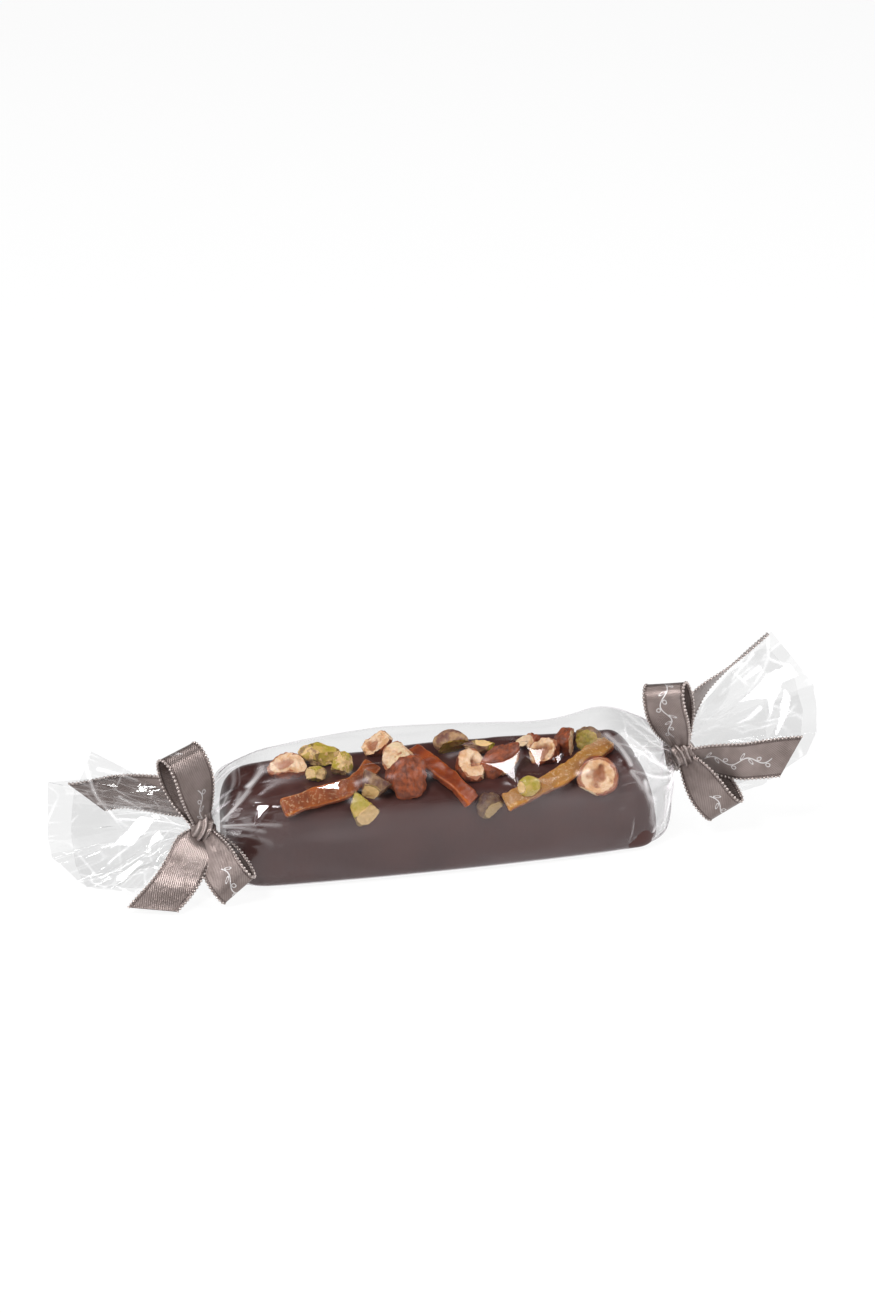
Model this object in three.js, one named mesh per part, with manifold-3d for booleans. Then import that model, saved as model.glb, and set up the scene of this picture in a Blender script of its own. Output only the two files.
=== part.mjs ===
// A chocolate-coated yule log bar, topped with nuts and candied peel, wrapped in clear film that is
// gathered at both ends and tied there with satin ribbon bows. Millimetres, +Z up, +X along the bar,
// -Y towards the front. The origin is the middle of the flat underside that the log rests on.
import * as THREE from "three";
import { mergeVertices } from "three/addons/utils/BufferGeometryUtils.js";
import Module from "manifold-3d";

const wasm = await Module();
wasm.setup();

// The log and the film over it
const LOG_HALF_WIDTH = 24.4; // at the middle, film included
const LOG_END_HALF_WIDTH = 21.6; // the sides draw in towards both ends
const LOG_HEIGHT = 34;
const FILM_RISE = 9.5; // how far the film stands over the log's top, held up by the nuts
const FRONT_LEAN = 1.8; // how far the nuts on the front shoulder hold the film out
const BASE_SINK = 0.6; // how deep the rounded section is cut off to give the flat underside
const SIDE_EXPONENT = 7; // squareness of the section's lower half
const TOP_EXPONENT = 3; // the film's arch over the toppings is rounder

// The gathered film
const NECK_RADIUS = 4.6;
const NECK_HALF_LENGTH = 3.6;
const PLEATS = 9;
const PLEAT_DEPTH = 0.09; // share of the radius
const FAN_THICKNESS = 2.4;

const LOOP_POINTS = 56; // points round each section of the wrapper
const FAN_STEPS = 9;
const BODY_STEPS = 34;

// The ribbons
const RIBBON_WIDTH = 15;
const RIBBON_THICKNESS = 0.8;
const PINCHED_WIDTH = 7; // where a ribbon enters its knot
const RING_CLEARANCE = 0.35;
const RING_THICKNESS = 1.1;
const KNOT_RADII = [4.6, 3.9, 4.2];
const RIBBON_STEPS = 22;
const LOOP_KNOTS = 12; // points that shape a bow's loop
const RING_POINTS = 28;

const vec = (x, y, z) => new THREE.Vector3(x, y, z);
const mix = THREE.MathUtils.lerp;
const ease = THREE.MathUtils.smoothstep;

// Each end: where its neck is, how squarely the film's top, sides and bottom turn in towards it, how
// far the film's lower edge stands out under it, and the flared film beyond. The corners of that
// film's cut edge run from the top one round to the bottom one, as offsets from the neck's outer
// face, and its top edge arches over the straight line to the first corner.
const LEFT = {
  side: -1,
  neck: vec(-88.8, 0, 18),
  squareness: { top: 4.5, side: 13, bottom: 16 },
  skirt: 0.6,
  arch: 5.5,
  corners: [
    vec(-33.5, 10, 29.1),
    vec(-48.8, 8, 15.9),
    vec(-51.3, -2, -3.9),
    vec(-39.7, -16, -13),
    vec(-22.9, -26, -11.2),
  ],
};
const RIGHT = {
  side: 1,
  neck: vec(91, 1, 28),
  squareness: { top: 6.4, side: 10, bottom: 26 },
  skirt: 2.6,
  arch: 8.5,
  corners: [
    vec(34.1, 8, 42.7),
    vec(50.8, 6, 20.3),
    vec(51.5, 3, 11.1),
    vec(50.6, -1, 3.1),
    vec(44.7, -8, -2.1),
    vec(26.1, -15, -9),
    vec(17.6, -13, -12.2),
  ],
};

// A positive or negative power, for superellipse sections.
const signedPower = (value, power) => Math.sign(value) * Math.abs(value) ** power;

// How far round a section the angle lies, as 0 at its top and 1 at its bottom, on either side.
function downTheSide(angle) {
  const turned = angle / Math.PI;
  return turned <= 1 ? turned : 2 - turned;
}

// The film's top line along the bar: a long low arch with one peak over the right-hand nuts.
function filmTop(x) {
  const peak = 4.5 * Math.exp(-(((x - 67.5) / 11) ** 2));
  const dip = 1.6 * Math.exp(-(((x - 40) / 15) ** 2));
  return LOG_HEIGHT + FILM_RISE + peak - dip;
}

// One point of the wrapper's section over the log, at a place along X and an angle round it. spare
// swells the form, to cut a ribbon clear of it.
function bodyPoint(x, angle, spare) {
  const end = x < 0 ? LEFT : RIGHT;
  const reach = Math.abs(end.neck.x) - NECK_HALF_LENGTH;
  const along = Math.min(1, Math.abs(x) / reach);
  const gather = (exponent) => Math.max(0, 1 - along ** exponent) ** (1 / 2.2);
  const full = gather(end.squareness.side);
  const sideWidth = mix(LOG_HALF_WIDTH, LOG_END_HALF_WIDTH, along ** 2);
  const halfWidth = mix(NECK_RADIUS, sideWidth, full) + spare;
  const topHeight = mix(end.neck.z + NECK_RADIUS, filmTop(x), gather(end.squareness.top));
  const bottomHeight = mix(end.neck.z - NECK_RADIUS, -BASE_SINK, gather(end.squareness.bottom));
  const top = topHeight + spare;
  const bottom = bottomHeight - spare;
  const middle = mix(end.neck.z, LOG_HEIGHT / 2, full);
  const upper = Math.cos(angle) > 0;
  const power = 2 / mix(2, upper ? TOP_EXPONENT : SIDE_EXPONENT, full);
  const pleat = 1 + PLEAT_DEPTH * (1 - full) * Math.cos(PLEATS * angle);
  const y = -halfWidth * signedPower(Math.sin(angle), power) * pleat;
  const height = (upper ? top - middle : middle - bottom) * pleat;
  const z = middle + height * signedPower(Math.cos(angle), power);
  const lean = FRONT_LEAN * full * Math.min(1, z / LOG_HEIGHT) * Math.max(0, Math.sin(angle));
  const below = Math.max(0, 1 - z / end.neck.z);
  const skirt = end.side * end.skirt * below * full * along ** 12;
  return vec(x + skirt, mix(end.neck.y, 0, full) + y - lean, Math.max(0, z));
}

// One point of an end beyond the body: the pleated neck, then the flared fan of film, whose front
// and back layers meet along its top and bottom edges.
function fanPoint(end, shape, out, angle, spare) {
  const across = downTheSide(angle);
  const face = vec(end.neck.x + end.side * NECK_HALF_LENGTH, end.neck.y, end.neck.z);
  const pleated = NECK_RADIUS * (1 + PLEAT_DEPTH * Math.cos(PLEATS * angle)) + spare;
  const gathered = vec(0, -Math.sin(angle) * pleated, Math.cos(angle) * pleated);
  const ray = shape.edge.getPoint(across);
  const tangent = shape.edge.getTangent(across);
  const normal = ray.clone().cross(tangent).normalize();
  const arch = end.arch * (1 - across) ** 1.5 * Math.sin(Math.PI * out ** 0.6);
  if (normal.y > 0) normal.negate();
  const open = ease(out, 0, 0.4);
  const layer = Math.sin(angle) >= 0 ? 1 : -1;
  const gap = layer * (spare + 0.5 * FAN_THICKNESS * Math.sin(Math.PI * across) ** 0.5);
  const wave = 1.8 * out * Math.sin(Math.PI * (5 * across + 0.3)) * Math.sin(Math.PI * across);
  return face
    .add(gathered.multiplyScalar(1 - open))
    .add(ray.clone().multiplyScalar(out))
    .add(vec(0, 0, arch))
    .add(normal.multiplyScalar((gap + wave) * open));
}

// Skins a row of closed point loops into one closed body. The end loops are thin bands, so each is
// capped by a strip between its front and back halves.
function loft(loops) {
  const count = loops[0].length;
  const positions = loops.flat().flatMap((p) => [p.x, p.y, p.z]);
  const index = [];
  for (let row = 0; row + 1 < loops.length; row++) {
    for (let i = 0; i < count; i++) {
      const a = row * count + i;
      const b = row * count + ((i + 1) % count);
      index.push(a, b, a + count, b, b + count, a + count);
    }
  }
  const cap = (row, facing) => {
    const at = (i) => row * count + ((i + count) % count);
    const push = (a, b, c) => index.push(...(facing > 0 ? [a, c, b] : [a, b, c]));
    for (let i = 0; i < count / 2; i++) {
      if (i > 0) push(at(i), at(-i), at(i + 1));
      if (i + 1 < count / 2) push(at(i + 1), at(-i), at(-i - 1));
    }
  };
  cap(0, -1);
  cap(loops.length - 1, 1);
  const geometry = new THREE.BufferGeometry();
  geometry.setAttribute("position", new THREE.Float32BufferAttribute(positions, 3));
  geometry.setIndex(index);
  return geometry;
}

// The cut edge of a fan: straight from corner to corner.
function cutEdge(corners) {
  const edge = new THREE.CurvePath();
  for (let i = 0; i + 1 < corners.length; i++) {
    edge.add(new THREE.LineCurve3(corners[i], corners[i + 1]));
  }
  return edge;
}

// The film from the left fan's cut edge, over the log, to the right fan's cut edge.
function wrapperGeometry(spare = 0) {
  const angles = Array.from({ length: LOOP_POINTS }, (_, i) => (2 * Math.PI * i) / LOOP_POINTS);
  const fanLoops = (end) => {
    const shape = { edge: cutEdge(end.corners) };
    return Array.from({ length: FAN_STEPS + 1 }, (_, step) =>
      angles.map((angle) => fanPoint(end, shape, (step / FAN_STEPS) ** 1.25, angle, spare)),
    );
  };
  const left = LEFT.neck.x + NECK_HALF_LENGTH;
  const right = RIGHT.neck.x - NECK_HALF_LENGTH;
  const bodyLoops = Array.from({ length: BODY_STEPS + 1 }, (_, step) => {
    // stations crowd together where the section changes fast, near both necks
    const even = (2 * step) / BODY_STEPS - 1;
    const crowded = Math.sign(even) * (1 - (1 - Math.abs(even)) ** 2.1);
    const x = crowded < 0 ? -left * crowded : right * crowded;
    return angles.map((angle) => bodyPoint(x, angle, spare));
  });
  return loft([...fanLoops(LEFT).reverse(), ...bodyLoops, ...fanLoops(RIGHT)]);
}

// three.js geometry to a solid that can be joined, and back.
function toSolid(geometry) {
  const bare = geometry.index ? geometry.toNonIndexed() : geometry.clone();
  const clean = new THREE.BufferGeometry();
  clean.setAttribute("position", bare.getAttribute("position"));
  const merged = mergeVertices(clean, 1e-4);
  const mesh = new wasm.Mesh({
    numProp: 3,
    vertProperties: merged.attributes.position.array,
    triVerts: new Uint32Array(merged.index.array),
  });
  return new wasm.Manifold(mesh);
}

function toGeometry(solid) {
  const mesh = solid.getMesh();
  const geometry = new THREE.BufferGeometry();
  geometry.setAttribute("position", new THREE.Float32BufferAttribute(mesh.vertProperties, 3));
  geometry.setIndex(new THREE.BufferAttribute(mesh.triVerts, 1));
  return geometry;
}

// A strip of ribbon along a curve. widthAt gives the direction across it and widthOf its width
// there. slant is how far one corner of its cut end leads the other.
function ribbonStrip({ curve, widthAt, widthOf, slant = 0 }) {
  const loops = [];
  for (let step = 0; step <= RIBBON_STEPS; step++) {
    const t = step / RIBBON_STEPS;
    const centre = curve.getPoint(t);
    const tangent = curve.getTangent(t);
    const across = widthAt(t).clone();
    across.addScaledVector(tangent, -across.dot(tangent)).normalize();
    const normal = tangent.clone().cross(across);
    const lead = tangent.clone().multiplyScalar(0.5 * slant * ease(t, 0.55, 1));
    const half = across.multiplyScalar(0.5 * widthOf(t)).add(lead);
    const skin = normal.multiplyScalar(0.5 * RIBBON_THICKNESS);
    const corner = (w, n) => centre.clone().addScaledVector(half, w).addScaledVector(skin, n);
    loops.push([corner(1, -1), corner(1, 1), corner(-1, 1), corner(-1, -1)]);
  }
  return loft(loops);
}

// A loop of a bow: out from the knot along reach, open by breadth, and back to the knot.
function bowLoop(knot, { reach, across, breadth }) {
  const outward = reach.clone().normalize();
  const width = across.clone().addScaledVector(outward, -across.dot(outward)).normalize();
  const opening = outward.clone().cross(width);
  const length = reach.length();
  const points = Array.from({ length: LOOP_KNOTS + 1 }, (_, i) => {
    const turn = (2 * Math.PI * i) / LOOP_KNOTS;
    const far = 0.5 - 0.5 * Math.cos(turn);
    return knot
      .clone()
      .addScaledVector(outward, length * far ** 0.8)
      .addScaledVector(opening, 0.5 * breadth * Math.sin(turn) * (0.55 + 0.6 * far));
  });
  const widthOf = (t) => mix(PINCHED_WIDTH, RIBBON_WIDTH, ease(Math.sin(Math.PI * t), 0.1, 0.8));
  const curve = new THREE.CatmullRomCurve3(points, false, "centripetal");
  return ribbonStrip({ curve, widthAt: () => width, widthOf });
}

// A free tail of a bow: through its points, turning from one width direction to the other.
function bowTail(knot, { through, acrossStart, acrossEnd, slant }) {
  const curve = new THREE.CatmullRomCurve3([knot.clone(), ...through], false, "centripetal");
  const widthAt = (t) => acrossStart.clone().lerp(acrossEnd, ease(t, 0.1, 0.9));
  const widthOf = (t) => mix(PINCHED_WIDTH, RIBBON_WIDTH, ease(t, 0.02, 0.42));
  return ribbonStrip({ curve, widthAt, widthOf, slant });
}

// The turn of ribbon round the neck, under the knot.
function neckRing(end) {
  const inner = NECK_RADIUS * (1 + PLEAT_DEPTH) + RING_CLEARANCE;
  const outer = inner + RING_THICKNESS;
  const half = NECK_HALF_LENGTH - 0.5;
  const profile = [
    [inner, -half],
    [outer, -half],
    [outer + 0.5, 0],
    [outer, half],
    [inner, half],
    [inner, -half],
  ].map(([radius, along]) => new THREE.Vector2(radius, along));
  const ring = new THREE.LatheGeometry(profile, RING_POINTS);
  ring.rotateZ(-Math.PI / 2);
  ring.translate(end.neck.x, end.neck.y, end.neck.z);
  return ring;
}

function knotLump(knot) {
  const lump = new THREE.SphereGeometry(1, 16, 10);
  lump.scale(...KNOT_RADII);
  lump.translate(knot.x, knot.y, knot.z);
  return lump;
}

// One bow: ring, knot, two loops and two tails, joined, and cut clear of the film that they touch.
// A scrap that the cut leaves loose is dropped.
function bowGeometry(end, bow) {
  const knot = end.neck.clone().add(bow.knotOffset);
  const pieces = [
    neckRing(end),
    knotLump(knot),
    ...bow.loops.map((loop) => bowLoop(knot, loop)),
    ...bow.tails.map((tail) => bowTail(knot, tail)),
  ].map(toSolid);
  const joined = pieces.reduce((sum, piece) => sum.add(piece));
  const parts = joined.subtract(toSolid(wrapperGeometry(RING_CLEARANCE))).decompose();
  return toGeometry(parts.reduce((a, b) => (a.volume() > b.volume() ? a : b)));
}

const LEFT_BOW = {
  knotOffset: vec(-0.3, -8.4, 3),
  loops: [
    { reach: vec(-7, 3, 30.5), across: vec(-0.9, -0.42, 0), breadth: 13 },
    { reach: vec(9.4, -23.5, -13.6), across: vec(0.86, 0.1, 0.5), breadth: 8 },
  ],
  tails: [
    {
      through: [vec(-92, -15, 19), vec(-100.5, -23, 9), vec(-110.5, -30.5, 2.4)],
      acrossStart: vec(0.6, -0.6, -0.5),
      acrossEnd: vec(-1, 0.3, 0.1),
      slant: 9,
    },
    {
      through: [vec(-91, 1, 27.5), vec(-100.6, 7, 28), vec(-114.9, 14, 27.2), vec(-128, 17, 25)],
      acrossStart: vec(0, 0.3, 0.9),
      acrossEnd: vec(0.1, -0.25, 0.97),
      slant: 10,
    },
  ],
};
const RIGHT_BOW = {
  knotOffset: vec(-0.3, -8.4, 5.4),
  loops: [
    { reach: vec(-9, -4, 29), across: vec(0.9, -0.43, 0), breadth: 13 },
    { reach: vec(15, -10.5, -21.5), across: vec(0.75, 0.25, 0.6), breadth: 8 },
  ],
  tails: [
    {
      through: [vec(97, -12, 32), vec(111, -16.5, 31.5), vec(129, -20, 33)],
      acrossStart: vec(-0.3, -0.5, 0.8),
      acrossEnd: vec(0, 0.1, 1),
      slant: 9,
    },
    {
      through: [vec(93.3, 2, 39.7), vec(101, 7, 48), vec(114, 12.5, 55.6), vec(130.6, 18, 65.6)],
      acrossStart: vec(0.7, 0.45, -0.55),
      acrossEnd: vec(0.25, 0.88, -0.4),
      slant: 4,
    },
  ],
};

const clearFilm = new THREE.MeshStandardMaterial({
  color: 0x4a3532, // the chocolate seen through it, since this solid stands for film and contents
  roughness: 0.25,
  metalness: 0,
});
const satin = new THREE.MeshStandardMaterial({ color: 0x8b7d78, roughness: 0.4, metalness: 0 });

function named(name, geometry, material) {
  geometry.computeVertexNormals();
  const mesh = new THREE.Mesh(geometry, material);
  mesh.name = name;
  return mesh;
}

const wrappedLog = new THREE.Group();
wrappedLog.add(
  named("wrapped_log", wrapperGeometry(), clearFilm),
  named("ribbon_bow_left", bowGeometry(LEFT, LEFT_BOW), satin),
  named("ribbon_bow_right", bowGeometry(RIGHT, RIGHT_BOW), satin),
);

export default wrappedLog;
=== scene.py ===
"""A wrapped yule log cake: a dark chocolate log under nuts and candied peel, in clear film that
is gathered at both ends and tied with satin bows. Sizes are in millimetres, and each mesh is
built in metres."""

import logging
import math
from dataclasses import dataclass, field
from enum import Enum
from typing import Sequence

import bmesh
import bpy
import numpy as np
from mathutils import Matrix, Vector, geometry


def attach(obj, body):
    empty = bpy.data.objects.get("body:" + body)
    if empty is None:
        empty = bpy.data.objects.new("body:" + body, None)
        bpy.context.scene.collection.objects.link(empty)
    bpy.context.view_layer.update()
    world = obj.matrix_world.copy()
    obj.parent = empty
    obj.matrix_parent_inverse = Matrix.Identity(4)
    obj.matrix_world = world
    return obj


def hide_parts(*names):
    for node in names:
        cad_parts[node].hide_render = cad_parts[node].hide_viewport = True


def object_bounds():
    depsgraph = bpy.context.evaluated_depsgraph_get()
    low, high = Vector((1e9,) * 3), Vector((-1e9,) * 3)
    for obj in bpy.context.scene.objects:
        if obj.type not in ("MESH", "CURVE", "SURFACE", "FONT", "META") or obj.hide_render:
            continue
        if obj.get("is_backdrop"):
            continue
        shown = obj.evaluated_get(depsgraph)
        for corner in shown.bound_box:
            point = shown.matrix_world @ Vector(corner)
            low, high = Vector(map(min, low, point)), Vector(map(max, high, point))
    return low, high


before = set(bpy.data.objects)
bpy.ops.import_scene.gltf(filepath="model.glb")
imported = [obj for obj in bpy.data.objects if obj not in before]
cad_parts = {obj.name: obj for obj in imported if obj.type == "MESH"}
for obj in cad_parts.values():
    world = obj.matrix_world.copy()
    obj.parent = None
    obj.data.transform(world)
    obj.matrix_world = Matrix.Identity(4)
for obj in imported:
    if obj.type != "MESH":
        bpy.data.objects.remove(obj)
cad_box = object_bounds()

MM = 0.001
BODY = "root"
Point = tuple[float, float, float]
Colour = tuple[float, float, float]
Socket = bpy.types.NodeSocket
log = logging.getLogger("yule_log")


# Small mathematics


def mix(a: float, b: float, share: float) -> float:
    """Returns the value that lies a share of the way from a to b."""
    return a + (b - a) * share


def ease(value: np.ndarray | float, low: float, high: float) -> np.ndarray:
    """Eases a value from 0 at low to 1 at high.

    Args:
        value: The value or values.
        low: Where the rise starts.
        high: Where it ends.

    Returns:
        The eased share, from 0 to 1.
    """
    t = np.clip((np.asarray(value, float) - low) / (high - low), 0.0, 1.0)
    return t * t * (3 - 2 * t)


def signed_power(value: np.ndarray, power: np.ndarray | float) -> np.ndarray:
    """Returns value to a power, with its sign kept, for superellipse sections."""
    return np.sign(value) * np.abs(value) ** power


def bell(value: np.ndarray | float, middle: float, width: float) -> np.ndarray:
    """Returns a smooth hump: 1 at its middle, fading over its width."""
    return np.exp(-(((value - middle) / width) ** 2))


def run_along(line: np.ndarray) -> np.ndarray:
    """Returns how far along a line each of its points is."""
    return np.concatenate([[0], np.cumsum(np.linalg.norm(np.diff(line, axis=0), axis=1))])


def unit(vector: Sequence[float] | np.ndarray) -> np.ndarray:
    """Returns one vector, or each row of an array of them, at length 1."""
    v = np.asarray(vector, float)
    return v / np.maximum(np.linalg.norm(v, axis=-1, keepdims=True), 1e-9)


def ripple(points: np.ndarray, seed: int, wavelength: float, waves: int = 14) -> np.ndarray:
    """Sums random waves into a smooth bumpy field.

    Args:
        points: Positions, one a row.
        seed: What seeds the waves.
        wavelength: The typical length of a bump, in the points' unit.
        waves: How many waves are summed.

    Returns:
        A value for each point, mostly from -1 to 1.
    """
    draw = np.random.default_rng(seed)
    total = np.zeros(len(points))
    for _ in range(waves):
        heading = unit(draw.normal(size=3))
        size = wavelength * draw.uniform(0.7, 1.6)
        total += np.sin(points @ heading * (2 * math.pi / size) + draw.uniform(0, 2 * math.pi))
    return total / math.sqrt(waves)


def smooth_path(points: Sequence[Sequence[float]], count: int) -> np.ndarray:
    """Runs a centripetal Catmull-Rom curve through points.

    Args:
        points: What the curve passes through.
        count: How many points to return.

    Returns:
        Points along the curve, one a row.
    """
    p = np.asarray(points, float)
    p = np.vstack([2 * p[0] - p[1], p, 2 * p[-1] - p[-2]])
    out = []
    for at in np.linspace(0, len(p) - 3, count):
        i = min(int(at), len(p) - 4)
        s = at - i
        a, b, c, d = p[i : i + 4]
        step = [max(math.sqrt(np.linalg.norm(v - u)), 1e-6) for u, v in ((a, b), (b, c), (c, d))]
        m1 = (b - a) / step[0] - (c - a) / (step[0] + step[1]) + (c - b) / step[1]
        m2 = (c - b) / step[1] - (d - b) / (step[1] + step[2]) + (d - c) / step[2]
        m1, m2 = m1 * step[1], m2 * step[1]
        out.append(
            (2 * s**3 - 3 * s**2 + 1) * b
            + (s**3 - 2 * s**2 + s) * m1
            + (-2 * s**3 + 3 * s**2) * c
            + (s**3 - s**2) * m2
        )
    return np.array(out)


def corner_shares(
    x: np.ndarray, y: np.ndarray, corners: Sequence[tuple[float, float]]
) -> tuple[np.ndarray, np.ndarray, np.ndarray]:
    """Finds how near each point is to each corner of a triangle.

    Args:
        x: The first coordinate of each point.
        y: The second.
        corners: The triangle's three corners.

    Returns:
        The share of each corner at each point. Inside the triangle all three are above 0.
    """
    (ax, ay), (bx, by), (cx, cy) = corners
    area = (by - cy) * (ax - cx) + (cx - bx) * (ay - cy)
    p = ((by - cy) * (x - cx) + (cx - bx) * (y - cy)) / area
    q = ((cy - ay) * (x - cx) + (ax - cx) * (y - cy)) / area
    return p, q, 1 - p - q


def inside_outline(u: np.ndarray, v: np.ndarray, corners: Sequence[tuple[float, float]]) -> np.ndarray:
    """Tells which points lie inside an outline.

    Args:
        u: The first coordinate of each point.
        v: The second.
        corners: The outline's corners, in order.

    Returns:
        1 for each point inside the outline and 0 for each point outside it.
    """
    inside = np.zeros(u.shape, bool)
    for (au, av), (bu, bv) in zip(corners, (*corners[1:], corners[0])):
        crossed = (av > v) != (bv > v)
        inside ^= crossed & (u < au + (v - av) * (bu - au) / ((bv - av) or 1e-9))
    return inside.astype(float)


@dataclass(frozen=True)
class PaintedHighlight:
    """A painted highlight: white on the film where a facet, by its corners, or a crease between two points
    would mirror a lamp.
    """

    corners: tuple[tuple[float, float], ...]
    strength: float
    width: float = 0.8

    def at(self, u: np.ndarray, v: np.ndarray, scale: tuple[float, float]) -> np.ndarray:
        """Finds how white the painted highlight makes the film.

        Args:
            u: The first coordinate of each point of the film.
            v: The second.
            scale: The millimetres to one of each coordinate.

        Returns:
            The whiteness at each point, 0 away from it.
        """
        if len(self.corners) > 2:
            return self.strength * inside_outline(u, v, self.corners)
        start, end = (np.array(corner) * scale for corner in self.corners)
        run = end - start
        place = np.stack([u * scale[0], v * scale[1]], axis=-1) - start
        share = np.clip(place @ run / (run @ run), 0, 1)
        away = np.linalg.norm(place - share[..., None] * run, axis=-1)
        return self.strength * (1 - 0.5 * share) * (1 - ease(away / self.width, 0.2, 1.0))


class FacetField:
    """Random heights joined by flat facets, the way stiff film crumples."""

    def __init__(self, seed: int, columns: int, rows: int, jitter: float = 0.42) -> None:
        """Strews the corners of the facets over the unit square and a margin round it.

        Args:
            seed: What seeds the corners.
            columns: Facets along the first coordinate.
            rows: Facets along the second.
            jitter: How far a corner strays from its place, as a share of a facet.
        """
        draw = np.random.default_rng(seed)
        spots = [
            ((i + draw.uniform(-jitter, jitter)) / columns, (j + draw.uniform(-jitter, jitter)) / rows)
            for i in range(-1, columns + 2)
            for j in range(-1, rows + 2)
        ]
        self.spots = np.array(spots)
        self.heights = draw.uniform(-1, 1, len(spots))
        self.shown = draw.uniform(-0.9, 1.0, (len(spots), 16)).clip(0, 1)
        cells = geometry.delaunay_2d_cdt([Vector(s) for s in spots], [], [], 0, 1e-7)
        self.cells = [tuple(cell) for cell in cells[2]]

    def at(self, u: np.ndarray, v: np.ndarray, size: float) -> tuple[np.ndarray, np.ndarray]:
        """Reads the facets.

        Args:
            u: The first coordinate of each point.
            v: The second.
            size: How large a facet is, in millimetres.

        Returns:
            The height at each point, and how white a fold is painted there, as a painted highlight.
        """
        height, fold = np.zeros(u.shape), np.zeros(u.shape)
        for cell in self.cells:
            (ax, ay), (bx, by), (cx, cy) = self.spots[list(cell)]
            near = (u >= min(ax, bx, cx)) & (u <= max(ax, bx, cx))
            near &= (v >= min(ay, by, cy)) & (v <= max(ay, by, cy))
            if not near.any():
                continue
            p, q, r = corner_shares(u[near], v[near], self.spots[list(cell)])
            inside = (p >= -1e-6) & (q >= -1e-6) & (r >= -1e-6)
            raised, folded = height[near], fold[near]
            raised[inside] = 0
            for number, (share, corner) in enumerate(zip((p, q, r), cell)):
                ends = sorted(cell[:number] + cell[number + 1 :])
                shown = self.shown[ends[0], ends[1] % 16]
                line = shown * (1 - ease(share * size, 0.12, 0.62))
                folded[inside] = np.maximum(folded, line)[inside]
                raised[inside] += (share * self.heights[corner])[inside]
            height[near], fold[near] = raised, folded
        return height, fold


# Meshes


@dataclass
class Skin:
    """One surface: its points in millimetres, its faces, and values painted on its points."""

    points: np.ndarray
    faces: list[tuple[int, ...]]
    paint: dict[str, np.ndarray] = field(default_factory=dict)


def grid_faces(rows: int, columns: int, closed: bool = False) -> list[tuple[int, ...]]:
    """Lists the four-sided faces of a grid of points.

    Args:
        rows: Rows of points.
        columns: Points a row.
        closed: Whether each row's last point joins its first.

    Returns:
        The faces, as numbers of points.
    """
    across = columns if closed else columns - 1
    return [
        (r * columns + c, r * columns + (c + 1) % columns,
         (r + 1) * columns + (c + 1) % columns, (r + 1) * columns + c)
        for r in range(rows - 1)
        for c in range(across)
    ]


def close_ends(rows: int, columns: int) -> list[tuple[int, ...]]:
    """Returns the two end faces of a grid whose rows are closed loops."""
    last = (rows - 1) * columns
    return [tuple(range(columns))[::-1], tuple(range(last, last + columns))]


def closed_tube(
    points: np.ndarray, rows: int, columns: int, paint: dict[str, np.ndarray] | None = None
) -> Skin:
    """Makes one closed surface from a grid whose rows are loops, with a face over each end.

    Args:
        points: The grid's points, row by row.
        rows: Rows of points.
        columns: Points a row.
        paint: Values painted on the points.

    Returns:
        The surface.
    """
    faces = grid_faces(rows, columns, closed=True) + close_ends(rows, columns)
    return Skin(points, faces, paint or {})


class Batch:
    """Surfaces of one kind, gathered into one piece."""

    def __init__(self) -> None:
        """Starts an empty batch."""
        self.skins: list[Skin] = []

    def add(self, skin: Skin) -> None:
        """Adds one surface."""
        self.skins.append(skin)

    def build(
        self, name: str, material: bpy.types.Material, slot: str, nodes: Sequence[str]
    ) -> bpy.types.Object:
        """Makes the piece, hangs it on its body, gives it its finish and hides the solids that it stands
        for.

        Args:
            name: The piece's name.
            material: Its finish.
            slot: Not used.
            nodes: The solids that it stands for.

        Returns:
            The new object.
        """
        points = np.vstack([s.points for s in self.skins]) * MM
        faces: list[tuple[int, ...]] = []
        start = 0
        for skin in self.skins:
            faces += [tuple(i + start for i in face) for face in skin.faces]
            start += len(skin.points)
        mesh = bpy.data.meshes.new(name)
        mesh.from_pydata(points.tolist(), [], faces)
        for key in sorted({k for s in self.skins for k in s.paint}):
            values = [s.paint.get(key, np.zeros(len(s.points))) for s in self.skins]
            layer = mesh.attributes.new(key, "FLOAT", "POINT")
            layer.data.foreach_set("value", np.concatenate(values).astype(np.float32))
        mesh.shade_smooth()
        mesh.materials.append(material)
        piece = bpy.data.objects.new(name, mesh)
        bpy.context.scene.collection.objects.link(piece)
        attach(piece, BODY)
        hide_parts(*nodes)
        log.info("%s: %d points, %d faces", name, len(points), len(faces))
        return piece


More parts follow.
